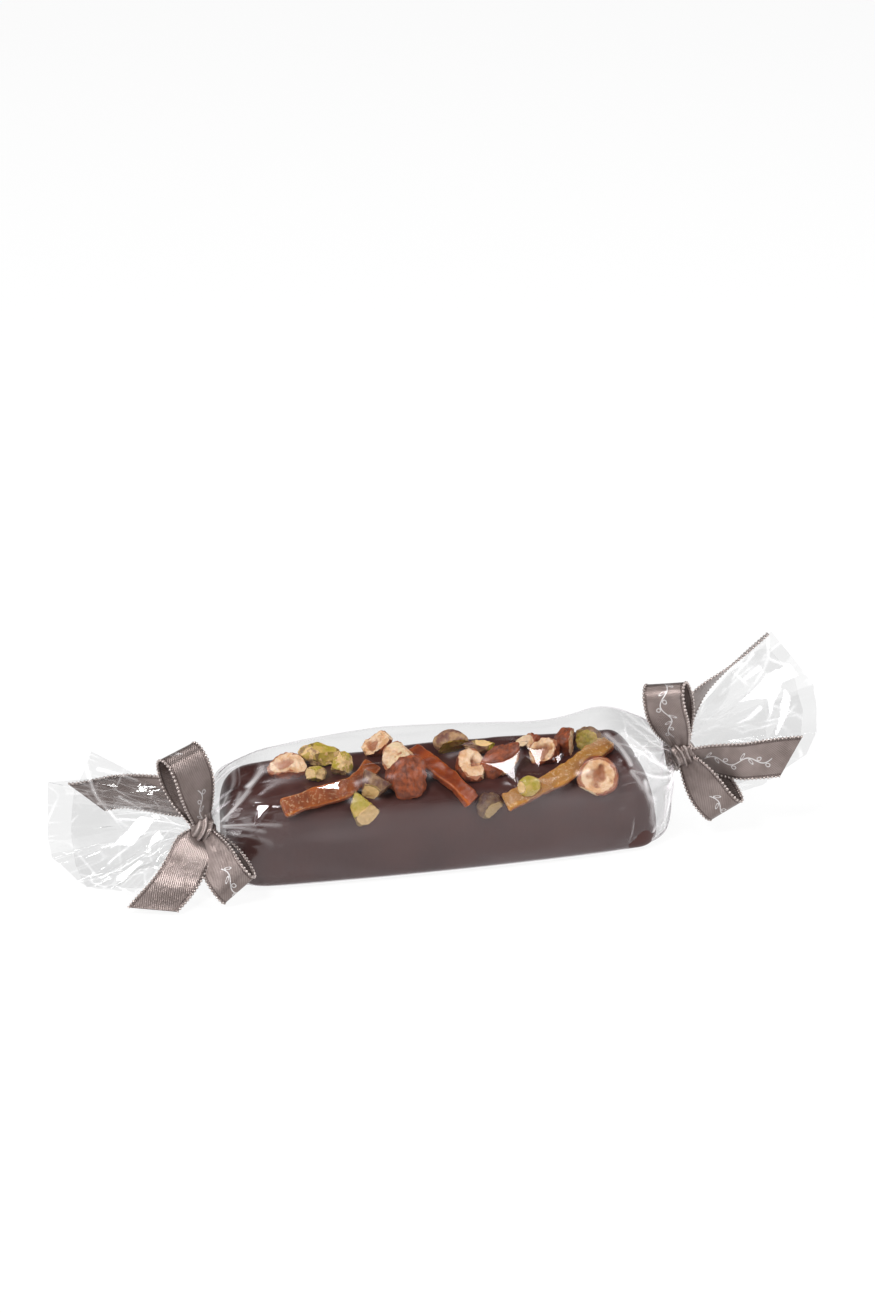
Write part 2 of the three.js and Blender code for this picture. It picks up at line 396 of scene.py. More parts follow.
class NodeBoard:
    """A material's nodes, added and joined in few words."""

    def __init__(self, name: str) -> None:
        """Starts an empty material.

        Args:
            name: The material's name.
        """
        self.material = bpy.data.materials.new(name)
        self.material.use_nodes = True
        self.tree = self.material.node_tree
        self.tree.nodes.clear()

    def add(self, kind: str, inputs: dict | None = None, **settings: object) -> bpy.types.Node:
        """Adds a node.

        Args:
            kind: The node's type, without its ShaderNode prefix.
            inputs: What goes into its sockets, by name or number: a value or another node's output.
            **settings: The node's own options.

        Returns:
            The node.
        """
        node = self.tree.nodes.new("ShaderNode" + kind)
        for key, value in settings.items():
            setattr(node, key, value)
        for key, value in (inputs or {}).items():
            if isinstance(value, Socket):
                self.tree.links.new(value, node.inputs[key])
            else:
                node.inputs[key].default_value = value
        return node

    def math(self, operation: str, a: object, b: object = 0.0, clamp: bool = False) -> Socket:
        """Returns the output of one sum on two values or outputs."""
        return self.add("Math", {0: a, 1: b}, operation=operation, use_clamp=clamp).outputs[0]

    def times(self, a: object, b: object) -> Socket:
        """Returns the product of two values or outputs."""
        return self.math("MULTIPLY", a, b)

    def plus(self, a: object, b: object) -> Socket:
        """Returns the total of two values or outputs."""
        return self.math("ADD", a, b)

    def minus(self, a: object, b: object) -> Socket:
        """Returns what is left of a value or output when another is taken away."""
        return self.math("SUBTRACT", a, b)

    def size_of(self, a: object) -> Socket:
        """Returns a value or output without its sign."""
        return self.math("ABSOLUTE", a)

    def vector(self, operation: str, a: object, b: object = (0.0, 0.0, 0.0)) -> Socket:
        """Returns the output of one sum on two vectors."""
        return self.add("VectorMath", {0: a, 1: b}, operation=operation).outputs[0]

    def scaled(self, vector: Socket, amount: object) -> Socket:
        """Returns a vector made longer or shorter."""
        return self.add("VectorMath", {0: vector, "Scale": amount}, operation="SCALE").outputs[0]

    def grey(self, value: object) -> Socket:
        """Returns the grey of a brightness."""
        return self.add("CombineColor", {0: value, 1: value, 2: value}).outputs[0]

    def painted(self, name: str) -> Socket:
        """Returns a value painted on the mesh."""
        return self.add("Attribute", attribute_name=name).outputs["Fac"]

    def noise(self, place: Socket, scale: float, detail: float = 3.0, rough: float = 0.55) -> Socket:
        """Makes cloudy noise.

        Args:
            place: Where it's read.
            scale: How many clouds there are to a metre.
            detail: How many finer layers are laid over them.
            rough: How strong each finer layer is.

        Returns:
            The noise, from 0 to 1.
        """
        inputs = {"Vector": place, "Scale": scale, "Detail": detail, "Roughness": rough}
        return self.add("TexNoise", inputs).outputs["Fac"]

    def span(
        self, value: Socket, low: float, high: float, to_low: float = 0.0, to_high: float = 1.0
    ) -> Socket:
        """Moves a value from one range to another, with soft ends.

        Args:
            value: The value.
            low: The start of its range.
            high: The end of it.
            to_low: What it becomes at low and before it.
            to_high: What it becomes at high and past it.

        Returns:
            The moved value.
        """
        inputs = {"Value": value, "From Min": low, "From Max": high, "To Min": to_low, "To Max": to_high}
        return self.add("MapRange", inputs, interpolation_type="SMOOTHSTEP").outputs["Result"]

    def blend(self, share: object, a: object, b: object, kind: str = "MIX") -> Socket:
        """Mixes two colours.

        Args:
            share: How much of the second there is.
            a: The first, a colour or an output.
            b: The second.
            kind: How they're mixed.

        Returns:
            The mixed colour.
        """
        opaque = [(*c, 1.0) if isinstance(c, tuple) and len(c) == 3 else c for c in (a, b)]
        node = self.add("Mix", {0: share, 6: opaque[0], 7: opaque[1]}, data_type="RGBA", blend_type=kind)
        return node.outputs[2]

    def bump(
        self, height: Socket, depth: float, strength: float = 1.0, over: Socket | None = None
    ) -> Socket:
        """Bends the normal by a height.

        Args:
            height: The height, from 0 to 1.
            depth: How deep its full range is, in metres.
            strength: How much of it shows.
            over: The bent normal that it's laid over.

        Returns:
            The bent normal.
        """
        inputs = {"Height": height, "Distance": depth, "Strength": strength}
        if over is not None:
            inputs["Normal"] = over
        return self.add("Bump", inputs).outputs["Normal"]

    def place(self) -> Socket:
        """Returns the point's place on the piece, in metres."""
        return self.add("TexCoord").outputs["Object"]

    def finish(self, shader: Socket) -> bpy.types.Material:
        """Ends the material with its shader, and returns it."""
        self.add("OutputMaterial", {"Surface": shader})
        return self.material

    def surface(
        self, colour: object, rough: object, normal: Socket | None, **inputs: object
    ) -> bpy.types.Material:
        """Ends the material with a solid surface.

        Args:
            colour: Its colour.
            rough: Its roughness.
            normal: Its bent normal, if it has one.
            **inputs: What else goes into the shader's sockets, with _ for a space.

        Returns:
            The material.
        """
        sockets = {"Base Color": colour, "Roughness": rough}
        if normal is not None:
            sockets["Normal"] = normal
        sockets |= {name.replace("_", " "): value for name, value in inputs.items()}
        return self.finish(self.add("BsdfPrincipled", sockets).outputs[0])


# Finishes


@dataclass(frozen=True)
class ClearFilm:
    """Thin clear film: almost all of what is behind it shows, and it mirrors softly.

    Where it's painted as glossy it mirrors lamps sharply. Where it's painted as crushed, creases
    part it into flat facets that each turn their own way. Where it's painted white, a lit white
    layer is added over it: painted highlights on its creases and where a facet would mirror a lamp."""

    head_on: float = 0.046
    passed: float = 0.93
    roughness: float = 0.30
    glossy_roughness: float = 0.03
    wrinkles: float = 0.06
    painted_highlight_share: float = 0.5
    tint: Colour = (1.0, 0.955, 0.985)
    turned: float = 0.34
    crease_highlight: float = 0.40
    hazed: float = 0.10
    dulled: float = 0.13
    on_top: float = 0.45
    topping_heights: tuple[float, float] = (0.029, 0.039)
    haze_contrast: float = 5.0
    streaks: tuple[float, float, float] = (18.0, 30.0, 85.0)
    highlight_white: Colour = (0.9, 0.9, 0.91)
    let_through: float = 0.35

    def facets(self, board: NodeBoard) -> tuple[Socket, ...]:
        """Parts the film by cross folds and by spokes that run out from the neck.

        Args:
            board: The material's nodes.

        Returns:
            Which way each facet turns, how white its creases are painted as highlights, and how hazy it
            is.
        """
        u, v = board.painted("u"), board.painted("v")
        spot = board.add("CombineXYZ", {0: u, 1: v}).outputs[0]
        pattern = (
            ({"Vector": spot, "Scale": 1.0}, "2D", 0.045, 1.0, None),
            ({"W": v, "Scale": 2.3}, "1D", 0.070, 0.7, None),
            ({"Vector": spot, "Scale": 2.2}, "2D", 0.060, 0.6, "fine"),
        )
        turn, crease, haze = None, None, None
        patchy = board.span(board.noise(board.place(), 75.0, 2.0), 0.42, 0.62)
        for inputs, dimensions, width, weight, share in pattern:
            cell, edge = (
                board.add("TexVoronoi", inputs, voronoi_dimensions=dimensions, feature=feature)
                for feature in ("F1", "DISTANCE_TO_EDGE")
            )
            amount = board.times(board.painted(share), weight) if share else weight
            way = board.scaled(board.vector("SUBTRACT", cell.outputs["Color"], (0.5, 0.5, 0.5)), amount)
            line = board.times(board.span(edge.outputs["Distance"], 0.0, width, 1.0, 0.0), patchy)
            line = board.times(line, amount)
            tone = board.add("SeparateColor", {0: cell.outputs["Color"]}).outputs[2]
            tone = board.times(board.math("POWER", tone, self.haze_contrast), amount)
            if turn is None:
                turn, crease, haze = way, line, tone
                continue
            turn = board.vector("ADD", turn, way)
            crease = board.math("MAXIMUM", crease, line)
            haze = board.math("MAXIMUM", haze, tone)
        return turn, crease, haze

    def material(self, name: str) -> bpy.types.Material:
        """Makes the film's material.

        Args:
            name: The material's name.

        Returns:
            The material.
        """
        board = NodeBoard(name)
        place = board.place()
        gloss, crush = board.painted("gloss"), board.painted("crush")
        turn, crease, haze = self.facets(board)
        normal = board.bump(board.noise(place, 120.0, 2.0, 0.5), 0.0004, self.wrinkles)
        turn = board.scaled(turn, board.times(crush, self.turned))
        normal = board.vector("NORMALIZE", board.vector("ADD", normal, turn))
        share = self.mirrored_share(board, place, normal, gloss)
        clear = board.add("BsdfTransparent", {
            "Color": board.grey(board.minus(self.passed, board.times(crush, self.dulled)))
        }).outputs[0]
        rough = board.span(gloss, 0.0, 0.9, self.roughness, self.glossy_roughness)
        mirror = board.add(
            "BsdfGlossy", {"Color": (*self.tint, 1), "Roughness": rough, "Normal": normal}
        ).outputs[0]
        film = board.add("MixShader", {0: share, 1: clear, 2: mirror}).outputs[0]
        # Painted highlights: a lit white layer is added where the film is painted white, along its creases
        # and on its hazy facets.
        white = board.plus(board.times(crease, self.crease_highlight), board.times(haze, self.hazed))
        fold = board.times(board.painted("fold"), self.painted_highlight_share)
        fold = board.math("MAXIMUM", fold, board.times(white, crush), clamp=True)
        highlight_colour = board.blend(fold, (0.0, 0.0, 0.0), self.highlight_white)
        front = board.add("BsdfDiffuse", {"Color": highlight_colour}).outputs[0]
        through = board.add("BsdfTranslucent", {"Color": highlight_colour}).outputs[0]
        frosted = board.add("MixShader", {0: self.let_through, 1: front, 2: through}).outputs[0]
        return board.finish(board.add("AddShader", {0: film, 1: frosted}).outputs[0])

    def mirrored_share(self, board: NodeBoard, place: Socket, normal: Socket, gloss: Socket) -> Socket:
        """Finds how much the film mirrors: more at a glance, in drawn-out streaks, and less where
        it's high over the toppings and not pulled flat.

        Args:
            board: The material's nodes.
            place: The point's place.
            normal: The film's bent normal.
            gloss: Where the film is glossy.

        Returns:
            The share of what shows that is mirrored.
        """
        facing = board.add("LayerWeight", {"Blend": 0.5, "Normal": normal}).outputs["Facing"]
        glance = board.times(board.math("POWER", facing, 5.0), 1.0 - self.head_on)
        drawn = board.vector("MULTIPLY", place, self.streaks)
        streak = board.span(board.noise(drawn, 1.0, 1.0), 0.45, 0.8, 0.0, 0.035)
        share = board.math("ADD", board.plus(glance, self.head_on), streak, clamp=True)
        height = board.add("SeparateXYZ", {0: place}).outputs[2]
        low, high = self.topping_heights
        calm = board.span(height, low, high, 1.0, self.on_top)
        return board.times(share, board.math("MAXIMUM", calm, gloss))


@dataclass(frozen=True)
class DarkChocolate:
    """A dark chocolate coating: near black-brown, glossy, with slow waves and a faint bloom."""

    deep: Colour = (0.052, 0.0150, 0.0125)
    light: Colour = (0.070, 0.0225, 0.0185)
    roughness: tuple[float, float] = (0.3, 0.44)
    specular: float = 0.36

    def material(self, name: str) -> bpy.types.Material:
        """Makes the coating's material.

        Args:
            name: The material's name.

        Returns:
            The material.
        """
        board = NodeBoard(name)
        place = board.place()
        colour = board.blend(board.span(board.noise(place, 70.0, 4.0), 0.3, 0.7), self.deep, self.light)
        rough = board.span(board.noise(place, 230.0, 3.0), 0.3, 0.8, *self.roughness)
        normal = board.bump(board.noise(place, 120.0, 3.0), 0.0006, 0.4)
        return board.surface(colour, rough, normal, Specular_IOR_Level=self.specular)


@dataclass(frozen=True)
class NutFinish:
    """A nut: papery skin outside, pale flesh where it's cut or broken, toasted along the rim."""

    skin: Colour = (0.35, 0.077, 0.020)
    skin_dark: Colour = (0.150, 0.034, 0.012)
    flesh: Colour = (0.84, 0.60, 0.40)
    flesh_dark: Colour = (0.66, 0.36, 0.17)
    rim: Colour = (0.31, 0.080, 0.024)
    cream: Colour = (0.80, 0.60, 0.37)
    streak: float = 420.0
    roughness: tuple[float, float] = (0.42, 0.62)
    specular: float = 0.45
    glow: float = 0.12
    glow_reach: float = 0.0012
    glow_colour: Colour = (1.0, 0.5, 0.25)

    def material(self, name: str) -> bpy.types.Material:
        """Makes the nut's material.

        Args:
            name: The material's name.

        Returns:
            The material.
        """
        board = NodeBoard(name)
        place = board.place()
        fleck = board.noise(place, self.streak, 4.0, 0.6)
        skin = board.blend(board.span(fleck, 0.35, 0.68), self.skin_dark, self.skin)
        mottle = board.noise(place, 260.0, 4.0, 0.6)
        flesh = board.blend(board.span(mottle, 0.38, 0.66), self.flesh, self.flesh_dark)
        hollow = board.times(board.painted("hollow"), board.span(mottle, 0.25, 0.6, 0.6, 1.1))
        flesh = board.blend(board.span(hollow, 0.05, 0.85, 0.0, 0.80), flesh, self.rim)
        patch = board.noise(place, 340.0, 2.0, 0.5)
        paled = board.plus(board.painted("pale"), board.span(patch, 0.32, 0.68, -0.45, 0.45))
        flesh = board.blend(board.span(paled, 0.42, 0.60), flesh, self.cream)
        toasted = board.plus(board.painted("rim"), board.span(fleck, 0.3, 0.8, -0.25, 0.3))
        flesh = board.blend(board.span(toasted, 0.45, 0.90, 0.0, 0.9), flesh, self.rim)
        ragged = board.plus(board.painted("skin"), board.span(fleck, 0.3, 0.8, -0.22, 0.22))
        colour = board.blend(board.span(ragged, 0.42, 0.58), flesh, skin)
        colour = board.blend(1.0, colour, board.grey(board.painted("tint")), "MULTIPLY")
        rough = board.span(mottle, 0.3, 0.8, *self.roughness)
        normal = board.bump(board.noise(place, 900.0, 4.0, 0.65), 0.00035, 0.6)
        return board.surface(
            colour, rough, normal, Subsurface_Weight=self.glow, Subsurface_Scale=self.glow_reach,
            Subsurface_Radius=self.glow_colour, Specular_IOR_Level=self.specular,
        )


@dataclass(frozen=True)
class PeelFinish:
    """Candied orange peel: sticky, orange-brown and a little clear, with a dimpled rind and sugar."""

    deep: Colour = (0.150, 0.022, 0.005)
    bright: Colour = (0.34, 0.062, 0.009)
    edge: Colour = (0.55, 0.145, 0.025)
    olive: Colour = (0.42, 0.198, 0.034)
    sugar: Colour = (0.66, 0.44, 0.24)
    roughness: tuple[float, float] = (0.34, 0.55)
    specular: float = 0.3
    glow: float = 0.2
    glow_reach: float = 0.0015
    glow_colour: Colour = (1.0, 0.35, 0.1)
    syrup: float = 0.08
    syrup_roughness: float = 0.2

    def material(self, name: str) -> bpy.types.Material:
        """Makes the peel's material.

        Args:
            name: The material's name.

        Returns:
            The material.
        """
        board = NodeBoard(name)
        place = board.place()
        clouds = board.noise(place, 150.0, 3.0, 0.5)
        colour = board.blend(board.span(clouds, 0.3, 0.75), self.deep, self.bright)
        colour = board.blend(board.times(board.painted("edge"), 0.75), colour, self.edge)
        olive = board.times(board.painted("olive"), board.span(clouds, 0.25, 0.6, 0.55, 1.0))
        colour = board.blend(olive, colour, self.olive)
        grains = board.noise(place, 850.0, 3.0, 0.7)
        frost = board.times(board.painted("sugar"), board.span(grains, 0.52, 0.66))
        colour = board.blend(frost, colour, self.sugar)
        rough = board.span(board.painted("sugar"), 0.0, 1.0, *self.roughness)
        normal = board.bump(board.noise(place, 420.0, 3.0), 0.0003, 0.5)
        frosted = board.times(grains, board.span(board.painted("sugar"), 0.0, 1.0, 0.3, 1.0))
        normal = board.bump(frosted, 0.0003, 0.6, over=normal)
        return board.surface(
            colour, rough, normal, Specular_IOR_Level=self.specular, Subsurface_Weight=self.glow,
            Subsurface_Scale=self.glow_reach, Subsurface_Radius=self.glow_colour,
            Coat_Weight=self.syrup, Coat_Roughness=self.syrup_roughness,
        )


@dataclass(frozen=True)
class SatinFinish:
    """Taupe satin: fine diagonal ribs, a dark stitched line inside each edge, a silver sprig."""

    base: Colour = (0.300, 0.246, 0.231)
    shadow: Colour = (0.165, 0.125, 0.113)
    silver: Colour = (0.72, 0.70, 0.70)
    stitch: Colour = (0.060, 0.040, 0.036)
    # Paler colour painted on the corded edges' thick beads, partly the thread's own colour and partly a
    # painted highlight, and a painted highlight on the knot's pleat ridges.
    cord: Colour = (0.62, 0.54, 0.51)
    roughness: float = 0.35
    metallic: float = 0.66
    specular: float = 0.5
    rib_mm: float = 0.95
    repeat_mm: float = 40.0
    sprig_mm: float = 25.0
    stem_wave_mm: float = 12.5
    stem_swing_mm: float = 1.5
    stem_half_mm: float = 0.22
    leaf_pitch_mm: float = 3.1
    leaf_half_mm: tuple[float, float] = (0.75, 1.05)
    leaf_off_mm: float = 1.35
    leaf_hollow: float = 0.42
    print_half_mm: float = 4.6
    stitch_at_mm: float = 6.55
    stitch_half_mm: float = 0.28
    stitch_pitch_mm: float = 0.8

    def sprig(self, board: NodeBoard, along: Socket, across: Socket) -> Socket:
        """Draws the printed sprig: a waving stem with small leaves on both sides of it.

        Args:
            board: The material's nodes.
            along: Millimetres along the ribbon.
            across: Millimetres from its middle.

        Returns:
            1 on the print and 0 off it.
        """
        step = board.math("MODULO", board.plus(along, 10 * self.repeat_mm), self.repeat_mm)
        swing = board.math("SINE", board.times(step, 2 * math.pi / self.stem_wave_mm))
        stem = board.minus(across, board.times(swing, self.stem_swing_mm))
        line = board.math("LESS_THAN", board.size_of(stem), self.stem_half_mm)
        leaf_at = board.minus(board.math("MODULO", step, self.leaf_pitch_mm), self.leaf_pitch_mm / 2)
        side = board.math("SIGN", board.math("SINE", board.times(step, math.pi / self.leaf_pitch_mm)))
        lift = board.minus(stem, board.times(side, self.leaf_off_mm))
        leaned = board.minus(leaf_at, board.times(board.times(side, lift), 0.5))
        long = board.math("POWER", board.math("DIVIDE", leaned, self.leaf_half_mm[0]), 2.0)
        wide = board.math("POWER", board.math("DIVIDE", lift, self.leaf_half_mm[1]), 2.0)
        reach = board.plus(long, wide)
        rim = board.math("GREATER_THAN", reach, self.leaf_hollow)
        leaf = board.times(board.math("LESS_THAN", reach, 1.0), rim)
        ink = board.math("MAXIMUM", line, leaf)
        within = board.math("LESS_THAN", step, self.sprig_mm)
        clear = board.math("LESS_THAN", board.size_of(across), self.print_half_mm)
        face = board.math("GREATER_THAN", board.painted("face"), 0.5)
        return board.times(board.times(ink, within), board.times(clear, face))

    def stitches(self, board: NodeBoard, along: Socket, across: Socket) -> Socket:
        """Draws the dark stitched line inside each edge.

        Args:
            board: The material's nodes.
            along: Millimetres along the ribbon.
            across: Millimetres from its middle.

        Returns:
            How dark the stitches are.
        """
        inset = board.size_of(board.minus(board.size_of(across), self.stitch_at_mm))
        beat = board.math("SINE", board.times(along, 2 * math.pi / self.stitch_pitch_mm))
        return board.times(
            board.math("LESS_THAN", inset, self.stitch_half_mm), board.span(beat, -0.4, 0.4, 0.35, 0.8)
        )

    def material(self, name: str) -> bpy.types.Material:
        """Makes the ribbon's material.

        Args:
            name: The material's name.

        Returns:
            The material.
        """
        board = NodeBoard(name)
        place = board.place()
        along, across = board.painted("along"), board.painted("across")
        rib = board.math("SINE", board.times(board.plus(along, across), 2 * math.pi / self.rib_mm))
        shading = board.span(board.noise(place, 160.0, 3.0), 0.3, 0.7, 0.35, 1.0)
        ribbed = board.times(board.span(rib, -1.0, 1.0, 0.45, 1.0), shading)
        colour = board.blend(ribbed, self.shadow, self.base)
        colour = board.blend(self.stitches(board, along, across), colour, self.stitch)
        # Paler where painted as cord: each thick bead of the corded edges, partly the thread's own colour
        # and partly a painted highlight, and the knot's pleat ridges, a painted highlight.
        colour = board.blend(board.times(board.painted("cord"), 0.9), colour, self.cord)
        colour = board.blend(board.times(self.sprig(board, along, across), 0.85), colour, self.silver)
        normal = board.bump(rib, 0.00006, 0.5)
        normal = board.bump(board.noise(place, 150.0, 3.0), 0.0009, 0.5, over=normal)
        return board.surface(
            colour, self.roughness, normal, Metallic=self.metallic, Specular_IOR_Level=self.specular
        )


# The film and the log inside it


@dataclass(frozen=True)
class GatheredEnd:
    """One end of the film: its tied neck, and the flared sheets beyond it.

    The corners of each sheet's cut edge run from its top one round to its bottom one, as offsets
    from the neck's outer face. Creases run from the neck over the sleeve, as far as crease_reach
    says. Its painted highlights are white facets and creases on its front sheet."""

    side: int
    neck: Point
    squareness: tuple[float, float, float]
    skirt: float
    arch: float
    facets: tuple[float, float]
    crumple: float
    creases: int
    crease_reach: tuple[float, float]
    painted_highlights: tuple[PaintedHighlight, ...]
    front: tuple[Point, ...]
    back: tuple[Point, ...]


LEFT_END = GatheredEnd(
    side=-1, neck=(-88.8, 0.0, 18.0), squareness=(4.5, 13.0, 16.0), skirt=0.6, arch=5.5,
    facets=(3.0, 6.0), crumple=1.0, creases=30, crease_reach=(11.0, 34.0),
    painted_highlights=(
        PaintedHighlight(((0.66, 0.55), (0.53, 0.473), (0.414, 0.349), (0.302, 0.38), (0.373, 0.519),
               (0.509, 0.62)), 1.5),
        PaintedHighlight(((0.414, 0.744), (0.244, 0.643), (0.273, 0.535), (0.343, 0.612)), 1.6),
        PaintedHighlight(((1.0, 0.075), (0.53, 0.438)), 1.1), PaintedHighlight(((0.89, 0.07), (0.52, 0.039)), 1.0),
        PaintedHighlight(((0.595, 0.372), (0.03, 0.42)), 1.2), PaintedHighlight(((0.79, 0.268), (0.215, 0.291)), 0.8),
        PaintedHighlight(((0.682, 0.562), (0.114, 0.531)), 1.1), PaintedHighlight(((0.75, 0.66), (0.3, 0.56)), 0.9),
        PaintedHighlight(((0.62, 0.2), (0.2, 0.35)), 0.8),
    ),
    front=((-33.5, 10, 29.1), (-36.5, 7, 23.5), (-41.0, 5, 16.0), (-43.5, -1, 3.0), (-43.0, -8, -7.0),
           (-39.7, -16, -13), (-22.9, -26, -11.2)),
    back=((-20.0, 15, 16.0), (-49.5, 12, 17.5), (-51.3, 4, -1.0), (-50.6, 0, -6.5), (-39.7, -13, -12.5),
          (-20.0, -20, -12.2)),
)
RIGHT_END = GatheredEnd(
    side=1, neck=(91.0, 1.0, 28.0), squareness=(6.4, 10.0, 26.0), skirt=2.6, arch=8.5,
    facets=(1.9, 3.4), crumple=0.6, creases=17, crease_reach=(9.0, 30.0),
    painted_highlights=(
        PaintedHighlight(((0.95, 0.171), (0.749, 0.155), (0.693, 0.171), (0.671, 0.186), (0.456, 0.233),
               (0.649, 0.302), (0.649, 0.403), (0.693, 0.326), (0.805, 0.248), (0.90, 0.240),
               (0.95, 0.245)), 1.6),
        PaintedHighlight(((0.794, 0.287), (0.81, 0.349), (0.77, 0.431), (0.682, 0.55), (0.716, 0.434),
               (0.74, 0.357)), 1.8),
        PaintedHighlight(((0.73, 0.10), (0.584, 0.105)), 1.6, 1.2), PaintedHighlight(((0.573, 0.348), (0.48, 0.39)), 1.6, 1.3),
        PaintedHighlight(((0.498, 0.385), (0.40, 0.40)), 1.3), PaintedHighlight(((0.76, 0.02), (0.5, 0.04)), 0.9),
    ),
    front=((34.1, 8, 42.7), (50.8, 6, 20.3), (51.5, 3, 11.1), (50.6, -1, 3.1), (44.7, -8, -2.1),
           (26.1, -15, -9), (17.6, -13, -12.2)),
    back=((31.5, 11, 38.5), (46.0, 10, 20.0), (48.5, 7, 9.0), (46.5, 3, 0.5), (38.0, -3, -5.0),
          (22.0, -8, -10.5), (14.5, -9, -12.0)),
)


@dataclass(frozen=True)
class Glint:
    """A patch of the sleeve that is pulled flat, so that it mirrors a lamp from edge to edge.

    Its corners are places along the log and angles round it. Its sides curve in by waist."""

    corners: tuple[tuple[float, float], tuple[float, float], tuple[float, float]]
    facing: Point
    waist: float = 0.15
    fade: float = 0.22

    def lift(
        self, grid: np.ndarray, outward: np.ndarray, x: np.ndarray, angle: np.ndarray
    ) -> tuple[np.ndarray, np.ndarray]:
        """Finds how far the film's points must move outward to lie on the patch's plane.

        Args:
            grid: The film's points.
            outward: The film's outward direction at each of them.
            x: Where along the log each point is.
            angle: The angles round the sleeve.

        Returns:
            The distance for each point, which fades out round the patch, and whether it's inside.
        """
        p, q, r = corner_shares(x, np.broadcast_to(angle[None, :], x.shape), self.corners)
        curve = 4 * self.waist
        sides = ((p, q, r), (q, p, r), (r, p, q))
        margin = np.minimum.reduce([near - curve * np.clip(one * two, 0, 1) for near, one, two in sides])
        share = ease(margin, -self.fade, 0.0)
        patch = margin > 0
        if not patch.any():
            return np.zeros(x.shape), patch
        n = unit(self.facing)
        level = grid @ n
        height = np.percentile(level[patch], 85) - level
        tilt = np.maximum(outward @ n, 0.3)
        return share * np.clip(height / tilt, -2.5, 6.0), patch


# Painted highlights on the sleeve: white facets and creases where it would mirror a lamp, by places along
# the log and angles round it.
SLEEVE_PAINTED_HIGHLIGHTS: tuple[PaintedHighlight, ...] = (
    PaintedHighlight(((67.0, 1.0), (60.2, 0.26)), 1.9, 0.9),
    PaintedHighlight(((62.2, 0.387), (67.0, 0.322), (72.0, 0.528), (86.1, 1.194), (67.5, 1.089),
           (64.6, 0.816)), 0.40),
    PaintedHighlight(((67.5, 1.089), (85.8, 1.283), (78.2, 1.422), (70.2, 1.385)), 0.26),
    PaintedHighlight(((77.0, 1.5), (84.0, 1.3), (84.0, 2.2), (77.5, 2.2)), 0.20),
    PaintedHighlight(((86.0, 1.166), (62.2, 0.517)), 1.5), PaintedHighlight(((86.9, 1.34), (66.5, 0.335)), 1.4),
    PaintedHighlight(((86.5, 1.34), (67.4, 1.089)), 1.5), PaintedHighlight(((67.0, 1.101), (82.0, 1.9)), 1.2),
    PaintedHighlight(((72.8, 1.283), (74.1, 1.482)), 2.2, 1.0), PaintedHighlight(((74.1, 1.482), (77.4, 1.547)), 1.8),
    PaintedHighlight(((84.2, 1.3), (83.0, 2.2)), 1.5, 1.0), PaintedHighlight(((77.9, 1.745), (76.2, 2.2)), 2.2, 1.0),
    PaintedHighlight(((85.6, 1.35), (80.4, 2.2)), 1.3), PaintedHighlight(((84.0, 0.7), (70.0, 0.05)), 1.1),
    PaintedHighlight(((85.5, 0.4), (66.0, -0.3)), 1.0), PaintedHighlight(((85.0, 0.0), (72.0, -0.6)), 0.9),
    PaintedHighlight(((-81.8, 0.90), (-66.8, 0.1)), 1.5), PaintedHighlight(((-72.2, 0.31), (-66.0, 0.07)), 1.8, 1.3),
    PaintedHighlight(((-82.6, 0.96), (-72.0, 0.44)), 1.3), PaintedHighlight(((-81.0, 0.98), (-75.0, 0.40)), 1.2),
    PaintedHighlight(((-82.2, 1.10), (-63.0, 1.28)), 1.2), PaintedHighlight(((-82.2, 1.15), (-68.6, 1.35)), 1.0),
    PaintedHighlight(((-77.3, 0.973), (-72.6, 1.041), (-73.4, 1.45), (-73.9, 1.283)), 0.35),
    PaintedHighlight(((-81.0, 1.3), (-66.0, 1.52)), 0.9, 0.5), PaintedHighlight(((-83.0, 0.6), (-74.0, -0.1)), 0.9),
)
BY_THE_RIGHT_LAMP: Point = (0.209, -0.677, 0.705)
BY_THE_KEY_LAMP: Point = (-0.330, -0.676, 0.659)
GLINTS: tuple[Glint, ...] = (
    Glint(((11.5, 0.60), (27.9, 0.33), (24.6, 1.06)), BY_THE_RIGHT_LAMP, 0.21),
    Glint(((29.3, 0.34), (36.6, 0.33), (33.4, 0.70)), BY_THE_RIGHT_LAMP, 0.08),
    Glint(((39.4, 0.50), (43.0, 0.42), (40.6, 0.66)), BY_THE_RIGHT_LAMP, 0.0),
    Glint(((-50.5, 0.66), (-39.2, 0.64), (-40.4, 0.82)), BY_THE_KEY_LAMP, 0.1),
    Glint(((-66.0, 0.88), (-70.2, 0.82), (-71.2, 1.16)), BY_THE_KEY_LAMP, 0.05),
    Glint(((62.4, 0.62), (65.2, 0.78), (67.4, 1.06)), BY_THE_RIGHT_LAMP, 0.05),
)


